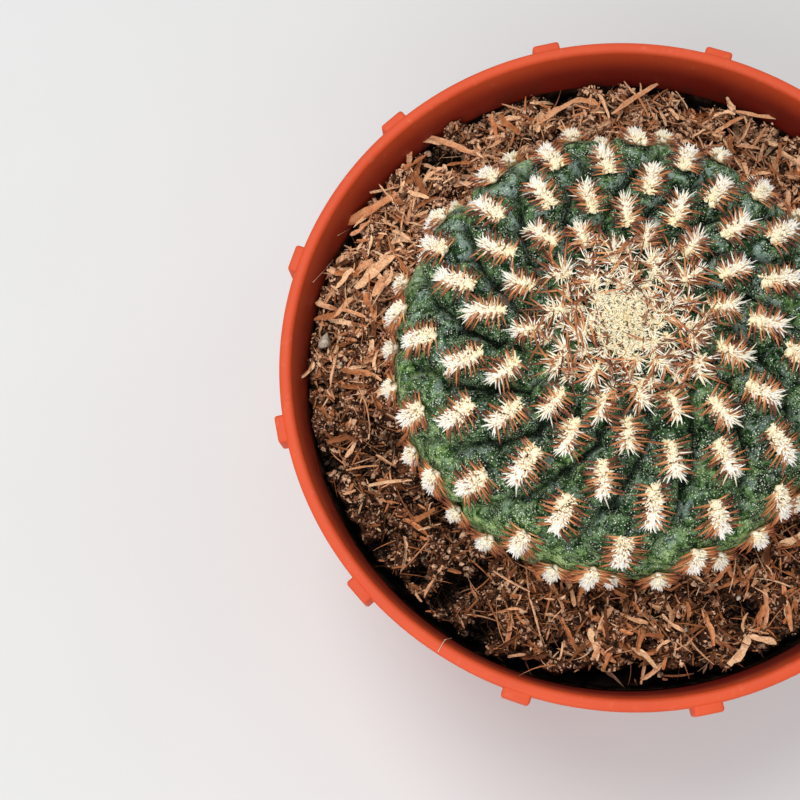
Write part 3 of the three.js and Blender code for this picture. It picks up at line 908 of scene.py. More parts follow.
def make_crown(finishes):
    """The crown: close rosettes of pale bristles, then young areoles whose brown spines cross."""
    rng = np.random.default_rng(7)
    heap = Heap()
    lay_rosettes(heap, rng)
    young = (LEVELS >= FIRST_YOUNG_LEVEL) & (LEVELS < FIRST_AREOLE_LEVEL)
    for s, azimuth in zip(AREOLE_S[young], AREOLE_AZIMUTH[young]):
        seat = Seat(s, azimuth, rng.normal(0, 0.3))
        age = min(1.0, s / (17 * MM))
        half_length = (0.9 + 1.2 * age) * MM
        lay_wool(heap, rng, seat, half_length, (0.8 + 0.2 * age) * MM, 50, 0.0)
        lay_fringe(heap, rng, seat, half_length, age)
        lay_young_spines(heap, rng, seat, half_length, int(6 + 8 * age), (4.5 + 3.5 * age) * MM)
    for order in range(YOUNG_TUFTS):
        s = (6.4 + 10.4 * (order + 0.5) / YOUNG_TUFTS) * MM
        seat = Seat(s, order * GOLDEN_TURN + 0.7, rng.normal(0, 0.6))
        lay_wool(heap, rng, seat, 1.0 * MM, 0.8 * MM, 22, 0.0)
        lay_fringe(heap, rng, seat, 1.0 * MM, 0.7)
        lay_young_spines(heap, rng, seat, 1.0 * MM, 5, 7.5 * MM)
    add_piece("crown_areoles", heap.mesh("crown_areoles"), finishes, ["crown_tuft"])


def lay_rosettes(heap, rng):
    """Small stars set nearly as in a sunflower, closest in the middle, so that no skin shows."""
    order = np.arange(ROSETTES) + 0.3
    middle_s = ROSETTE_ARC * (order / ROSETTES) ** 0.62 + rng.normal(0, 0.08, ROSETTES) * MM
    middle_azimuth = order * GOLDEN_TURN + rng.normal(0, 0.03, ROSETTES)
    s = np.repeat(middle_s, ROSETTE_BRISTLES)
    azimuth = np.repeat(middle_azimuth, ROSETTE_BRISTLES)
    origins = over_stem(s, azimuth, rng.uniform(0.3, 0.9, len(s)) * MM)
    down, around, outward = stem_axes(s, azimuth)
    turn = rng.uniform(0, math.tau, len(s))
    spread = rng.uniform(0.4, 1.8, len(s))
    lean = (outward * 0.8 + down * (spread * np.cos(turn) + 0.15)[:, None]
            + around * (spread * np.sin(turn))[:, None])
    growth = np.interp(s, [0, ROSETTE_ARC], [0.75, 1.4])
    lengths = rng.uniform(0.9, 1.5, len(s)) * growth * MM
    widths = rng.uniform(0.10, 0.15, len(s)) * np.sqrt(growth) * MM
    middle = np.clip(1 - s / (1.6 * MM), 0, 1)
    tints = np.clip(rng.normal(0.36, 0.2, len(s)) - 0.6 * middle, 0, 1)
    heap.add(BRISTLE, origins, frames_along(lean, lengths, widths), tints)
    lumps = np.stack([down * 1.15 * MM, around * 1.15 * MM, outward * 0.35 * MM], axis=2)
    heap.add(FELT, over_stem(middle_s, middle_azimuth, 0.1 * MM), lumps[::ROSETTE_BRISTLES],
             rng.uniform(0.0, 0.2, ROSETTES))
    tip = over_stem(np.zeros(1), np.zeros(1), 1.25 * MM)
    heap.add(FELT, tip, np.diag([0.45, -0.45, -0.3])[None] * MM, np.zeros(1))
    dots = rng.random(len(s)) < 0.05 * np.clip((s - 2 * MM) / (4 * MM), 0.05, 1)
    heap.add(SPINE, origins[dots], frames_along(lean[dots], lengths[dots] * 1.3, widths[dots] * 1.5),
             rng.uniform(0, 0.5, dots.sum()), slot=1)


def lay_young_spines(heap, rng, seat, half_length, count, longest):
    """Long thin spines that still stand up and cross each other."""
    u = rng.uniform(-0.9, 0.9, count)
    side = rng.choice([-1.0, 1.0], count)
    sideways = side * rng.uniform(0.3, 1.1, count)
    forward = rng.uniform(-0.4, 1.1, count)
    rise = rng.uniform(0.25, 0.55, count) * np.hypot(sideways, forward)
    lengths = longest * rng.uniform(0.5, 1.0, count)
    widths = rng.uniform(0.14, 0.24, count) * MM
    bends = (unit(rng.normal(size=(count, 3))) - seat.way(0, 0, 0.9)) * MM
    tints = np.clip(rng.normal(0.46, 0.34, count), 0, 1)
    roots = seat.origin + seat.way(u * half_length, 0, 0.5 * MM)
    frames = frames_along(seat.way(forward, sideways, rise), lengths, widths)
    heap.add(SPINE, roots, frames, tints, bends, slot=1)


def lay_fringe(heap, rng, seat, half_length, youth):
    """Pale bristles of a young areole, spread like a star from its outer half."""
    count = int(26 * youth)
    u = rng.uniform(-0.6, 1.0, count)
    w = rng.uniform(-1.0, 1.0, count)
    roots = seat.origin + seat.way(u * half_length, w * 0.5 * MM, 0.5 * MM)
    lean = seat.way(0.25 + 0.7 * u, w * 1.2, rng.uniform(0.15, 0.7, count))
    lean = lean + rng.normal(0, 0.25, (count, 3))
    lengths = rng.uniform(1.4, 3.6, count) * MM
    widths = rng.uniform(0.13, 0.20, count) * MM
    bends = rng.normal(0, 0.35, (count, 3)) * MM
    tints = np.clip(rng.normal(0.55, 0.25, count), 0, 1)
    heap.add(BRISTLE, roots, frames_along(lean, lengths, widths), tints, bends)


# ------------------------------------------------------------------ pot

def turned(bm, profile, steps):
    """Spins a closed or axis-to-axis profile of (radius, z) pairs into a solid."""
    verts = [bm.verts.new((r, 0, z)) for r, z in profile]
    edges = [bm.edges.new(pair) for pair in zip(verts, verts[1:])]
    bmesh.ops.spin(bm, geom=verts + edges, cent=(0, 0, 0), axis=(0, 0, 1), angle=math.tau,
                   steps=steps, use_merge=True)
    bmesh.ops.remove_doubles(bm, verts=bm.verts, dist=0.001 * MM)
    bmesh.ops.recalc_face_normals(bm, faces=bm.faces)


def pot_inside(z):
    """The pot's inner radius at a height."""
    return RIM_RADIUS - LIP_WIDTH - (POT_HEIGHT - z) * WALL_TAPER


def lip_arc(centre_r, centre_z, start, end):
    """Points of the lip's rounding, from one angle in degrees to the other."""
    angles = np.radians(np.linspace(start, end, 7))
    return [(centre_r + LIP_ROUND * math.cos(a), centre_z + LIP_ROUND * math.sin(a)) for a in angles]


def pot_profile():
    """(radius, z) pairs from the axis under the base, up outside, over the lip and down inside."""
    foot = POT_HEIGHT - COLLAR_HEIGHT
    lip_z = POT_HEIGHT - LIP_ROUND
    inside = [(pot_inside(z), z) for z in np.linspace(lip_z - 2 * MM, FLOOR + 2 * MM, 9)]
    return [
        (0, 0),
        (pot_inside(0) + WALL - 1.2 * MM, 0),
        (pot_inside(0) + WALL - 0.3 * MM, 0.3 * MM),
        (pot_inside(1.2 * MM) + WALL, 1.2 * MM),
        (pot_inside(foot) + WALL, foot - 0.6 * MM),
        (pot_inside(foot) + WALL + 0.3 * MM, foot),
        (RIM_RADIUS - COLLAR_DRAFT - 0.3 * MM, foot + 0.4 * MM),
        (RIM_RADIUS - COLLAR_DRAFT, foot + 1.1 * MM),
        *lip_arc(RIM_RADIUS - LIP_ROUND, lip_z, 0, 90),
        *lip_arc(RIM_RADIUS - LIP_WIDTH + LIP_ROUND, lip_z, 90, 180),
        *inside,
        (pot_inside(FLOOR) - 2 * MM, FLOOR),
        (0, FLOOR),
    ]


def turn_about_axis(bm, azimuth):
    bmesh.ops.rotate(bm, verts=bm.verts, cent=(0, 0, 0), matrix=Matrix.Rotation(azimuth, 3, "Z"))


def lug_block(azimuth):
    """A tab with rounded corners, from inside the lip to its outer face."""
    bm = bmesh.new()
    depth = LUG_PROUD + LIP_WIDTH / 2
    height = LUG_HEIGHT - LIP_ROUND / 2
    bmesh.ops.create_cube(bm, size=1)
    bmesh.ops.scale(bm, verts=bm.verts, vec=(depth, LUG_WIDTH, height))
    middle = (RIM_RADIUS + LUG_PROUD - depth / 2, 0, POT_HEIGHT - LIP_ROUND / 2 - height / 2)
    bmesh.ops.translate(bm, verts=bm.verts, vec=middle)
    edges = [e for e in bm.edges if any(v.co.x > RIM_RADIUS for v in e.verts)]
    bmesh.ops.bevel(bm, geom=edges, offset=0.7 * MM, segments=4, profile=0.5, affect="EDGES", material=-1)
    turn_about_axis(bm, azimuth)
    return mesh_from(bm, "lug")


def drain_ring():
    """The ring that is cut into the base round the drain holes."""
    inner, outer = DRAIN_RING
    bm = bmesh.new()
    section = [(inner, -MM), (outer, -MM), (outer, DRAIN_RECESS), (inner, DRAIN_RECESS), (inner, -MM)]
    turned(bm, section, 96)
    return mesh_from(bm, "ring")


def drain_hole(azimuth):
    """A round bar that bores one hole through the floor."""
    bm = bmesh.new()
    bmesh.ops.create_cone(bm, cap_ends=True, segments=32, radius1=DRAIN_RADIUS, radius2=DRAIN_RADIUS,
                          depth=FLOOR + 4 * MM)
    bmesh.ops.translate(bm, verts=bm.verts, vec=(DRAIN_CIRCLE, 0, FLOOR / 2))
    turn_about_axis(bm, azimuth)
    return mesh_from(bm, "hole")


def drain_channel(azimuth):
    """A channel from the drain ring out through the pot's foot."""
    bm = bmesh.new()
    inner_end = DRAIN_RING[1]
    reach = RIM_RADIUS - inner_end
    bmesh.ops.create_cube(bm, size=1)
    bmesh.ops.scale(bm, verts=bm.verts, vec=(reach, CHANNEL_WIDTH, 2 * DRAIN_RECESS))
    bmesh.ops.translate(bm, verts=bm.verts, vec=(inner_end + reach / 2 - MM, 0, 0))
    turn_about_axis(bm, azimuth)
    return mesh_from(bm, "channel")


def combined(base, others, operation):
    """base joined with, or cut by, the other meshes, with Blender's exact boolean."""
    body = new_object("body", base)
    tools = [new_object("tool", mesh) for mesh in others]
    for tool in tools:
        modifier = body.modifiers.new("cut", "BOOLEAN")
        modifier.operation, modifier.object, modifier.solver = operation, tool, "EXACT"
    bpy.context.view_layer.update()
    result = bpy.data.meshes.new_from_object(body.evaluated_get(bpy.context.evaluated_depsgraph_get()))
    for thing in [body, *tools]:
        bpy.data.objects.remove(thing)
    return result


def make_pot():
    bm = bmesh.new()
    turned(bm, pot_profile(), 240)
    mesh = mesh_from(bm, "plastic_pot")
    lug_step = math.tau / LUG_COUNT
    mesh = combined(mesh, [lug_block(LUG_AZIMUTH + lug_step * i) for i in range(LUG_COUNT)], "UNION")
    drain_step = math.tau / DRAIN_COUNT
    cuts = [drain_ring()]
    for i in range(DRAIN_COUNT):
        cuts += [drain_hole(drain_step * i), drain_channel(drain_step * (i + 0.5))]
    mesh = combined(mesh, cuts, "DIFFERENCE")
    mesh.materials.clear()
    mesh.shade_smooth()
    mesh.set_sharp_from_angle(angle=math.radians(38))
    add_piece("plastic_pot", mesh, [pot_finish()], ["pot"])


# ------------------------------------------------------------------ soil

CLOD_COUNT = 480
CRACK_WIDTH = 2.8 * MM
CRACK_DEPTH = 4.0 * MM
CRUMB_BROWNS = ((0.012, 0.006, 0.004), (0.235, 0.088, 0.042), (1.0, 0.62, 0.39))
CHIP_BROWNS = ((0.060, 0.019, 0.008), (0.62, 0.225, 0.085), (1.0, 0.65, 0.39))

# Where the dark pits in the coir are, and their radius, in millimetres.
PITS = (
    (-61, 32, 3.2), (-12.5, 67, 4), (20, 66, 3), (-44, -46, 2.4), (-36.5, -47, 2.4), (-66, -21, 2.5),
    (42, -47, 4), (26, -53, 3), (-45.5, 49.5, 2.6), (-41.5, 51, 2.6), (-37.5, 51.3, 2.4), (27, 58, 2.0),
    (-39.6, -29.2, 1.4), (-38, -30.8, 1.6), (-36, -31.9, 1.4), (-54.3, -40, 1.6), (-52, -38.6, 1.4),
    (-30.4, -43.6, 1.5), (-31, -46.5, 1.7), (-33.5, -48, 1.7), (-39.6, -50.8, 2.4), (-28.8, -56.4, 2.6),
    (-32.2, -59, 3.2), (-14.8, -61.2, 1.8),
)
PIT_DEPTH = 6 * MM

# The soil's section starts at the middle of its base; its top lies between these shares of the outline.
TOP_SHARES = (0.22, 0.85)
HIGHEST_COIR = SOIL_Z + 2.2 * MM
DIM_AZIMUTH = math.radians(218)
PALEST_AZIMUTH = math.radians(105)
UPWARDS = np.array([0.0, 0.0, 1.0])

# Name, seed of its shapes, count, least and most size, how much it floats up (mm), whether it is round.
CRUMBS = (
    ("coir_dust", 90, 15000, 0.28, 0.60, 0.0, False),
    ("coir_specks", 110, 16000, 0.16, 0.36, 1.0, False),
    ("coir_crumbs", 110, 9000, 0.42, 1.15, 0.0, True),
)
CRUMB_TINTS = (0.10, 0.48, 0.93)
CRUMB_TINT_SHARES = (0.34, 0.39, 0.27)


def azimuth_of(points):
    return np.arctan2(points[:, 1], points[:, 0])


def crevice(azimuth):
    """0 to 1: how far the soil has shrunk from the wall, most in front and a little behind."""
    front = np.cos((azimuth - CREVICE_AZIMUTH) / 2) ** 6
    behind = 0.30 * np.clip(np.sin(azimuth), 0, 1) * (0.6 + 0.4 * np.sin(5 * azimuth + 1.0))
    return front * (0.75 + 0.25 * np.sin(7 * azimuth)) + behind


def crevice_width(points):
    """Width of the gap the soil leaves along the wall, near each of the points."""
    ragged = 0.85 + 0.45 * waves(points[:, :2], 13, 9 * MM, 2.5 * MM)
    return (0.5 * MM + crevice(azimuth_of(points)) * CREVICE_WIDTH) * ragged


def over_crevice(points):
    """True where loose coir would fall into the gap along the wall."""
    depth = pot_inside(SOIL_Z) - np.hypot(points[:, 0], points[:, 1])
    return depth < crevice_width(points)


def clod_height(x, y):
    """Height of the clods the coir has dried into, with cracks between them."""
    rng = np.random.default_rng(17)
    middles = rng.uniform(-72, 72, (CLOD_COUNT, 2)) * MM
    rise = rng.uniform(-1.3, 1.1, CLOD_COUNT) * MM
    height = np.empty(len(x))
    for part in chunks(len(x)):
        gap = np.hypot(x[part, None] - middles[:, 0], y[part, None] - middles[:, 1])
        nearest = gap.argmin(axis=1)
        rows = np.arange(len(part))
        own = gap[rows, nearest]
        gap[rows, nearest] = FAR_OFF
        crack = valley(gap.min(axis=1) - own, CRACK_WIDTH)
        height[part] = rise[nearest] * (1 - crack) - crack * CRACK_DEPTH
    return height


def soil_height(x, y):
    """Height of the soil's top at a place in the pot."""
    flat = np.stack([x, y], axis=-1)
    swell = SOIL_SWELL * np.sin(3 * azimuth_of(flat) + 0.7) * 0.4
    lumps = waves(flat, 11, 14 * MM, 3.0 * MM) * 1.2 * MM
    height = SOIL_Z + 0.4 * MM + swell + lumps + clod_height(x, y)
    for pit_x, pit_y, pit_radius in PITS:
        gap = np.hypot(x / MM - pit_x, y / MM - pit_y)
        height = height - PIT_DEPTH * np.exp(-(gap / pit_radius) ** 4)
    inset = (crevice_width(flat) - (pot_inside(SOIL_Z) - np.hypot(x, y))) / (1.5 * MM)
    return height - CREVICE_DEPTH * 1.5 * np.clip(inset, 0, 1)


def soil_outline():
    """(radius, z) pairs of the soil's section: base and wall, top, and the hollow round the stem."""
    base = FLOOR + SEAT_GAP
    stem_edge = stem_radius(SOIL_Z + SOIL_SWELL) + SEAT_GAP
    wall_edge = pot_inside(SOIL_Z) - SEAT_GAP
    outer = [(0, base), (pot_inside(base) - SEAT_GAP - 2 * MM, base),
             (pot_inside(base + 2 * MM) - SEAT_GAP, base + 2 * MM),
             (pot_inside(SOIL_Z - 10 * MM) - SEAT_GAP, SOIL_Z - 10 * MM)]
    top = [(wall_edge, SOIL_Z), (stem_edge, SOIL_Z)]
    hollow = [(r + SEAT_GAP, z - SEAT_GAP / 2) for r, z in zip(OUTLINE_R, OUTLINE_Z)
              if z < SOIL_Z - 2 * MM and r > 0]
    tip = (0, OUTLINE_Z[-1] - SEAT_GAP)
    return outer, top, [*hollow, tip]


def soil_place(turn, share):
    """Points of the soil bed, whose hollow is centred on the stem and its outside on the pot."""
    outer, top, hollow = soil_outline()
    outline = np.array(outer + top + hollow)
    first, last = TOP_SHARES
    stops = np.concatenate([np.linspace(0, first - 0.04, len(outer)), TOP_SHARES,
                            np.linspace(last + 0.01, 1, len(hollow))])
    r = np.interp(share, stops, outline[:, 0])
    z = np.interp(share, stops, outline[:, 1])
    azimuth = turn * math.tau
    inward = np.clip((share - first) / (last - first), 0, 1)
    x = r * np.cos(azimuth) + STEM_CENTRE[0] * inward
    y = r * np.sin(azimuth) + STEM_CENTRE[1] * inward
    near_stem = np.clip((share - last) / 0.05 + 1, 0, 1)
    top_z = np.minimum(soil_height(x, y), HIGHEST_COIR)
    top_z = top_z * (1 - near_stem) + (SOIL_Z - 1 * MM) * near_stem
    on_top = (share > first - 1e-4) & (share < last + 1e-4)
    z = np.where(on_top, top_z, z)
    shrink = np.minimum(1, (pot_inside(z) - SEAT_GAP) / np.maximum(np.hypot(x, y), 1e-9))
    return np.stack([x * shrink, y * shrink, z], axis=-1)


def soil_look(turn, share):
    rng = np.random.default_rng(2)
    return np.full(len(turn), 0.15), rng.uniform(0, 1, len(turn))


def make_soil_bed():
    mesh = wrapped_grid("coir_bed", 300, 150, soil_place, soil_look)
    finish = coir_finish("coir_bed_earth", *CRUMB_BROWNS, 420)
    add_piece("coir_bed", mesh, [finish], ["soil"])


def clear_of_both(points, clear):
    """True for points that are this far from the stem and from the wall."""
    from_stem = np.hypot(points[:, 0] - STEM_CENTRE[0], points[:, 1] - STEM_CENTRE[1])
    from_axis = np.hypot(points[:, 0], points[:, 1])
    z = points[:, 2]
    return (from_stem > stem_radius(z) + clear) & (from_axis < pot_inside(z) - clear)


def scatter_places(rng, count, clear):
    """Places on the soil between the stem and the wall, clear of both by the given distance."""
    x = rng.uniform(-RIM_RADIUS, RIM_RADIUS, count * 4)
    y = rng.uniform(-RIM_RADIUS, RIM_RADIUS, count * 4)
    points = np.stack([x, y, soil_height(x, y)], axis=-1)
    points = points[clear_of_both(points, clear)]
    return points[~over_crevice(points)][:count]


def dimness(points):
    """1 at the front left, where the coir is finest, damp and dark, falling to 0 elsewhere."""
    swing = np.mod(azimuth_of(points) - DIM_AZIMUTH + math.pi, math.tau) - math.pi
    return np.exp(-(swing / 0.6) ** 2)


def dry_and_painted_lit(points):
    """0 to 1: how pale the coir lies, most at the back and least at the front: partly drier coir, partly
    painted light from the back.
    """
    dry = 0.55 + 0.45 * np.cos(azimuth_of(points) - PALEST_AZIMUTH)
    return np.clip(dry - 0.5 * dimness(points), 0, 1)


def coir_tints(rng, at, middle, spread, bleach):
    """Random tints about a middle one, paler by up to bleach towards the back: partly drier coir, partly
    painted light.
    """
    return np.clip(rng.normal(middle, spread, len(at)) + bleach * (dry_and_painted_lit(at) - 0.2), 0, 1)


def random_frames(rng, sizes):
    """Frames turned every way, a little flattened, for crumbs of these sizes."""
    directions = unit(rng.normal(size=(len(sizes), 3)) * [1, 1, 0.8])
    return frames_along(directions, sizes, sizes * rng.uniform(0.35, 0.8, len(sizes)),
                        sizes * rng.uniform(0.3, 0.7, len(sizes)))


def add_coir(name, heap, finish, smooth=False):
    add_piece(name, heap.mesh(name, smooth), [finish])


def make_crumbs():
    rng = np.random.default_rng(21)
    for name, seed, count, low, high, rise, is_round in CRUMBS:
        heap = Heap()
        shapes = [crumb(seed + i, is_round) for i in range(6)]
        places = scatter_places(rng, count, high * MM)
        for i, shape in enumerate(shapes):
            at = places[i::len(shapes)]
            sizes = rng.uniform(low, high, len(at)) * MM
            at = at + UPWARDS * (sizes * rng.uniform(0.0, 1.0, len(at)) + rise * MM)[:, None]
            middle = rng.choice(CRUMB_TINTS, len(at), p=CRUMB_TINT_SHARES)
            tints = coir_tints(rng, at, middle, 0.13, 0.38)
            heap.add(shape, at, random_frames(rng, sizes), tints)
        add_coir(name, heap, coir_finish(name, *CRUMB_BROWNS, 700))


def settled(rng, at, lengths, tilt):
    """Nearly flat directions for the pieces at these places, without those that meet stem or wall."""
    turn = rng.uniform(0, math.tau, len(at))
    rise = rng.normal(0, tilt, len(at))
    directions = np.stack([np.cos(turn), np.sin(turn), rise], axis=-1)
    good = clear_of_both(at + unit(directions) * lengths[:, None], 1 * MM)
    return at[good], lengths[good], directions[good]


def lifted(rng, at, low, high):
    """The places, each raised by a random height between low and high in millimetres."""
    return at + UPWARDS * rng.uniform(low, high, len(at))[:, None] * MM


def lay_blades(heap, rng):
    """Curled chips of husk."""
    blades = [blade(i) for i in range(8)]
    places = scatter_places(rng, 1500, 1.6 * MM)
    places = places[rng.random(len(places)) > 0.75 * dimness(places)]
    for i, shape in enumerate(blades):
        at = places[i::len(blades)]
        lengths = rng.gamma(5.0, 0.75, len(at)).clip(1.6, 8.0) * MM
        at, lengths, directions = settled(rng, at, lengths, 0.35)
        widths = rng.uniform(0.3, 0.62, len(at)) * np.clip(lengths / (3.5 * MM), 0.7, 1.5) * MM
        frames = frames_along(directions, lengths, widths, rolls=rng.normal(0, 0.7, len(at)))
        bends = rng.normal(0, 0.16, (len(at), 3)) * lengths[:, None]
        at = lifted(rng, at, 0.5, 2.0)
        heap.add(shape, at, frames, coir_tints(rng, at, 0.54, 0.28, 0.42), bends)


def lay_splinters(heap, rng):
    """The many narrow splinters that husk chips break into."""
    splinter = needle(3, 3, root=0.5, waist=1.0, tip=0.3)
    at = scatter_places(rng, 4200, 1.0 * MM)
    at = at[rng.random(len(at)) > 0.45 * dimness(at)]
    lengths = rng.gamma(4.0, 0.6, len(at)).clip(1.0, 6.0) * MM
    at, lengths, directions = settled(rng, at, lengths, 0.5)
    widths = rng.uniform(0.16, 0.42, len(at)) * MM
    frames = frames_along(directions, lengths, widths, rolls=rng.uniform(0, math.tau, len(at)))
    bends = rng.normal(0, 0.16, (len(at), 3)) * lengths[:, None]
    at = lifted(rng, at, 0.3, 1.8)
    heap.add(splinter, at, frames, coir_tints(rng, at, 0.40, 0.32, 0.42), bends)


def make_chips():
    rng = np.random.default_rng(31)
    heap = Heap()
    lay_blades(heap, rng)
    lay_splinters(heap, rng)
    add_coir("coir_chips", heap, coir_finish("coir_husk", *CHIP_BROWNS, 500))


def make_fibres():
    """Thin bent fibres, short ones and a few long and stouter ones."""
    rng = np.random.default_rng(41)
    heap = Heap()
    fibre = needle(4, 5, root=0.7, waist=1.0, tip=0.35)
    for count, low, high, thin, thick in [(650, 3.0, 6.0, 0.08, 0.16), (200, 6.0, 12.0, 0.12, 0.26)]:
        at = scatter_places(rng, count, 1.2 * MM)
        lengths = rng.uniform(low, high, len(at)) * MM
        at, lengths, directions = settled(rng, at, lengths, 0.22)
        bends = np.cross(directions, UPWARDS) * (lengths * rng.normal(0, 0.3, len(at)))[:, None]
        bends[:, 2] -= directions[:, 2] * lengths * 0.8
        at = lifted(rng, at, 0.6, 2.0)
        widths = rng.uniform(thin, thick, len(at)) * MM
        tints = coir_tints(rng, at, 0.47, 0.25, 0.3)
        heap.add(fibre, at, frames_along(directions, lengths, widths), tints, bends)
    add_coir("coir_fibres", heap, coir_finish("coir_fibre", *CHIP_BROWNS, 900), smooth=True)


# Start and end on the soil (mm), half width (mm) and tint of the husk pieces that lie loose on top.
LOOSE_CHIPS = (
    (-58.0, 20.4, -51.5, 27.7, 1.5, 0.92), (-54.9, 18.0, -52.0, 22.8, 1.1, 0.75),
    (-3.2, -53.9, -6.9, -58.6, 0.7, 0.80), (-6.9, -58.4, -5.3, -64.0, 0.9, 0.95),
    (0.2, -54.5, 5.2, -56.3, 0.6, 0.75), (8.8, -54.8, 12.2, -58.2, 0.45, 0.95),
    (2.6, -61.8, 7.4, -65.2, 0.6, 0.98), (22.6, -63.8, 27.1, -58.8, 1.1, 0.95),
    (27.1, -58.8, 31.9, -60.2, 0.7, 0.95), (-63.3, 13.0, -60.2, 17.2, 0.6, 0.75),
    (-67.9, 15.4, -64.5, 13.2, 0.8, 0.85), (-16.9, 60.1, -9.4, 65.9, 0.8, 0.75),
    (1.4, 63.0, 10.9, 69.0, 0.7, 0.70), (-60.7, 36.0, -50.6, 41.8, 1.3, 0.62),
    (23.8, 57.2, 30.1, 61.6, 0.5, 0.7), (30.1, 61.6, 40.3, 59.5, 0.5, 0.75),
    (-47.1, 56.0, -39.5, 55.2, 1.2, 0.85), (-41.5, 55.8, -31.6, 52.6, 0.8, 0.70),
    (-47.6, 50.2, -46.6, 54.6, 0.7, 0.8),
)
LOOSE_STICKS = (
    (-55.3, -26.7, -46.0, -24.6, 0.42, 0.95), (-27.9, -45.4, -20.4, -50.4, 0.26, 0.8),
    (-20.8, -44.2, -20.0, -51.7, 0.24, 0.7), (-20.0, -51.5, -17.0, -60.6, 0.24, 0.85),
    (-49.6, 16.1, -51.7, 3.4, 0.30, 0.6), (-60.5, -23.3, -53.6, -21.3, 0.25, 0.7),
    (-44.3, -36.6, -39.3, -35.2, 0.28, 0.85), (-47.9, 34.6, -46.8, 39.2, 0.45, 0.7),
    (5.7, 66.0, 2.0, 69.4, 0.28, 0.8), (6.1, 66.0, 7.2, 69.6, 0.28, 0.8), (5.7, 66.0, 8.5, 61.5, 0.3, 0.6),
)

# Place and radius (mm) of the grains of grit.
GRIT = (
    (-66.3, 6.4, 1.9), (-7.2, -61.8, 0.6), (-17.5, -50.8, 0.5), (-62.5, 1.0, 0.8), (13.0, -57.5, 0.6),
    (24.5, -50.5, 0.7), (-35.5, 45.0, 0.5), (-69.0, 17.4, 0.6),
)

# Start and end (mm) of the pale threads that cling to the wall and the lip.
THREADS = (
    (-63.7, 31.1, 97.2, -61.4, 34.2, 93.4), (-68.7, 18.9, 99.9, -66.3, 24.1, 94.9),
    (-66.3, 24.1, 94.9, -65.0, 26.8, 93.0), (-39.3, -63.4, 105.2, -37.9, -60.9, 105.1),
    (-37.9, -60.9, 105.1, -36.6, -60.0, 98.5),
)


def make_threads():
    """A few pale hairs of coir stuck to the pot's wall and lip."""
    heap = Heap()
    thread = needle(4, 4, root=0.8, waist=1.0, tip=0.6)
    for number, ends in enumerate(np.array(THREADS) * MM):
        across = ends[3:] - ends[:3]
        lay_one(heap, thread, ends[:3], across, np.linalg.norm(across), 0.11 * MM, 0.5 + 0.1 * number)
    browns = ((0.50, 0.24, 0.15), (0.80, 0.48, 0.34), (0.95, 0.78, 0.62))
    add_coir("pale_threads", heap, coir_finish("pale_threads", *browns, 900), smooth=True)


def resting(x, y, above):
    """Points over the coir at these places, not sunk in its pits."""
    return np.stack([x, y, np.maximum(soil_height(x, y), SOIL_Z - 1 * MM) + above], axis=-1)


def make_loose_pieces():
    """The few large chips and sticks that lie loose on the coir."""
    heap = Heap()
    stick = needle(5, 6, root=0.8, waist=1.0, tip=0.5)
    shapes = [blade(60 + i) for i in range(len(LOOSE_CHIPS))] + [stick] * len(LOOSE_STICKS)
    pieces = np.array(LOOSE_CHIPS + LOOSE_STICKS)
    for number, (shape, piece) in enumerate(zip(shapes, pieces)):
        start, end = resting(piece[0:3:2] * MM, piece[1:4:2] * MM, 1.9 * MM)
        across = end - start
        length = np.linalg.norm(across)
        sideways = np.cross(across / length, UPWARDS)
        bend = (sideways * 0.9 * math.sin(2.4 * number) - UPWARDS * 0.6) * MM
        lay_one(heap, shape, start, across, length, piece[4] * MM, piece[5], bend[None])
    add_coir("coir_loose", heap, coir_finish("coir_loose", *CHIP_BROWNS, 600))


def make_grit():
    heap = Heap()
    grain = crumb(90, True)
    for x, y, radius in np.array(GRIT) * MM:
        at = resting(np.array([x]), np.array([y]), 1.4 * MM)
        heap.add(grain, at, np.eye(3)[None] * radius, np.array([0.5]))
    add_piece("grit", heap.mesh("grit"), [grit_finish()])


# ------------------------------------------------------------------ stage, lights and camera

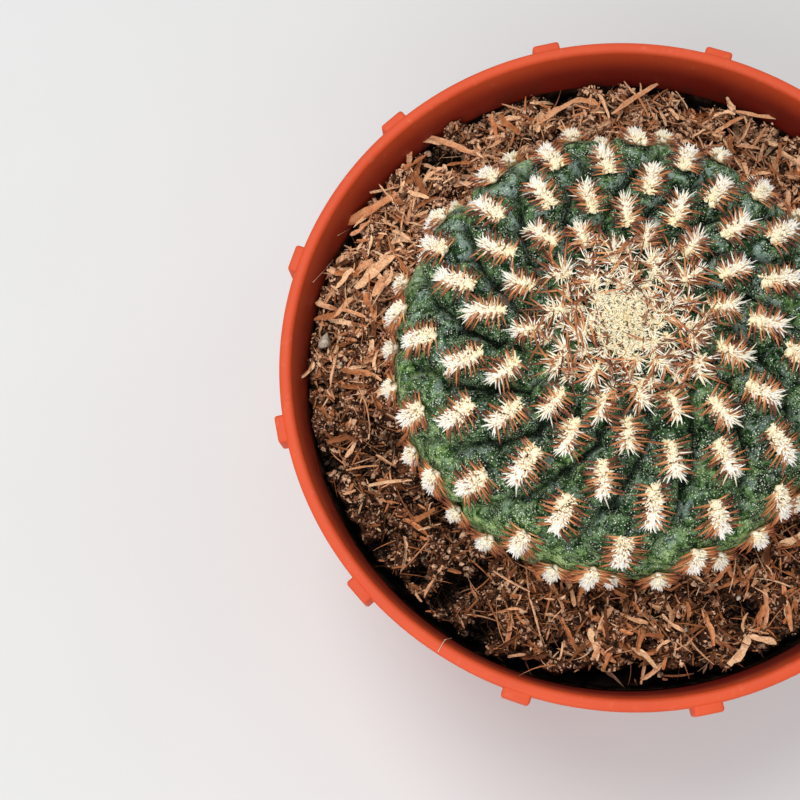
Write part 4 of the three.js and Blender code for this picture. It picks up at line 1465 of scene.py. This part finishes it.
CAMERA_LENS = 63
CAMERA_FROM_RIM = Vector((-0.381, -1.094, 3.919)) * RIM_RADIUS
CAMERA_RIGHT = Vector((0.99792, 0.01772, -0.06204))
CAMERA_FORWARD = Vector((-0.06448, 0.23858, -0.96898))
LIGHT_TARGET = Vector((0, 0, 0.1))


def make_camera():
    data = bpy.data.cameras.new("camera")
    data.lens = CAMERA_LENS
    data.sensor_width = 36
    data.clip_start = 0.01
    camera = new_object("camera", data)
    back = -CAMERA_FORWARD.normalized()
    right = (CAMERA_RIGHT - CAMERA_RIGHT.project(back)).normalized()
    up = back.cross(right)
    turn = Matrix((right, up, back)).transposed()
    camera.matrix_world = Matrix.Translation(Vector((0, 0, POT_HEIGHT)) + CAMERA_FROM_RIM) @ turn.to_4x4()
    bpy.context.scene.camera = camera


def make_light(name, place, size, power, colour):
    data = bpy.data.lights.new(name, "AREA")
    data.shape = "DISK"
    data.size = size
    data.energy = power
    data.color = colour
    light = new_object(name, data)
    light.location = place
    light.rotation_euler = (LIGHT_TARGET - Vector(place)).to_track_quat("-Z", "Y").to_euler()


def make_stage():
    """A pale floor, a window's light from the back left, a weaker one in front, and a soft sky."""
    bm = bmesh.new()
    bmesh.ops.create_grid(bm, x_segments=2, y_segments=2, size=3)
    floor = new_object("floor", mesh_from(bm, "floor"))
    floor.data.materials.append(floor_finish())
    make_light("window", (-0.26, 0.32, 1.35), 0.55, 8.6, (1.0, 0.985, 0.96))
    make_light("fill", (-0.35, -0.75, 0.8), 0.9, 6.0, (0.98, 0.99, 1.0))
    world = bpy.data.worlds.new("soft_sky")
    world.use_nodes = True
    sky = world.node_tree.nodes["Background"].inputs
    sky["Color"].default_value = (0.92, 0.96, 1.0, 1)
    sky["Strength"].default_value = 0.65
    bpy.context.scene.world = world
    bpy.context.scene.view_settings.view_transform = "Standard"


# ------------------------------------------------------------------ the whole plant

def make_areoles():
    finishes = [wool_finish(), spine_finish()]
    make_crown(finishes)
    for rib in range(RIBS):
        make_rib_areoles(rib, finishes)


make_camera()
make_pot()
make_soil_bed()
make_crumbs()
make_chips()
make_fibres()
make_loose_pieces()
make_grit()
make_threads()
make_stem()
make_areoles()
make_stage()
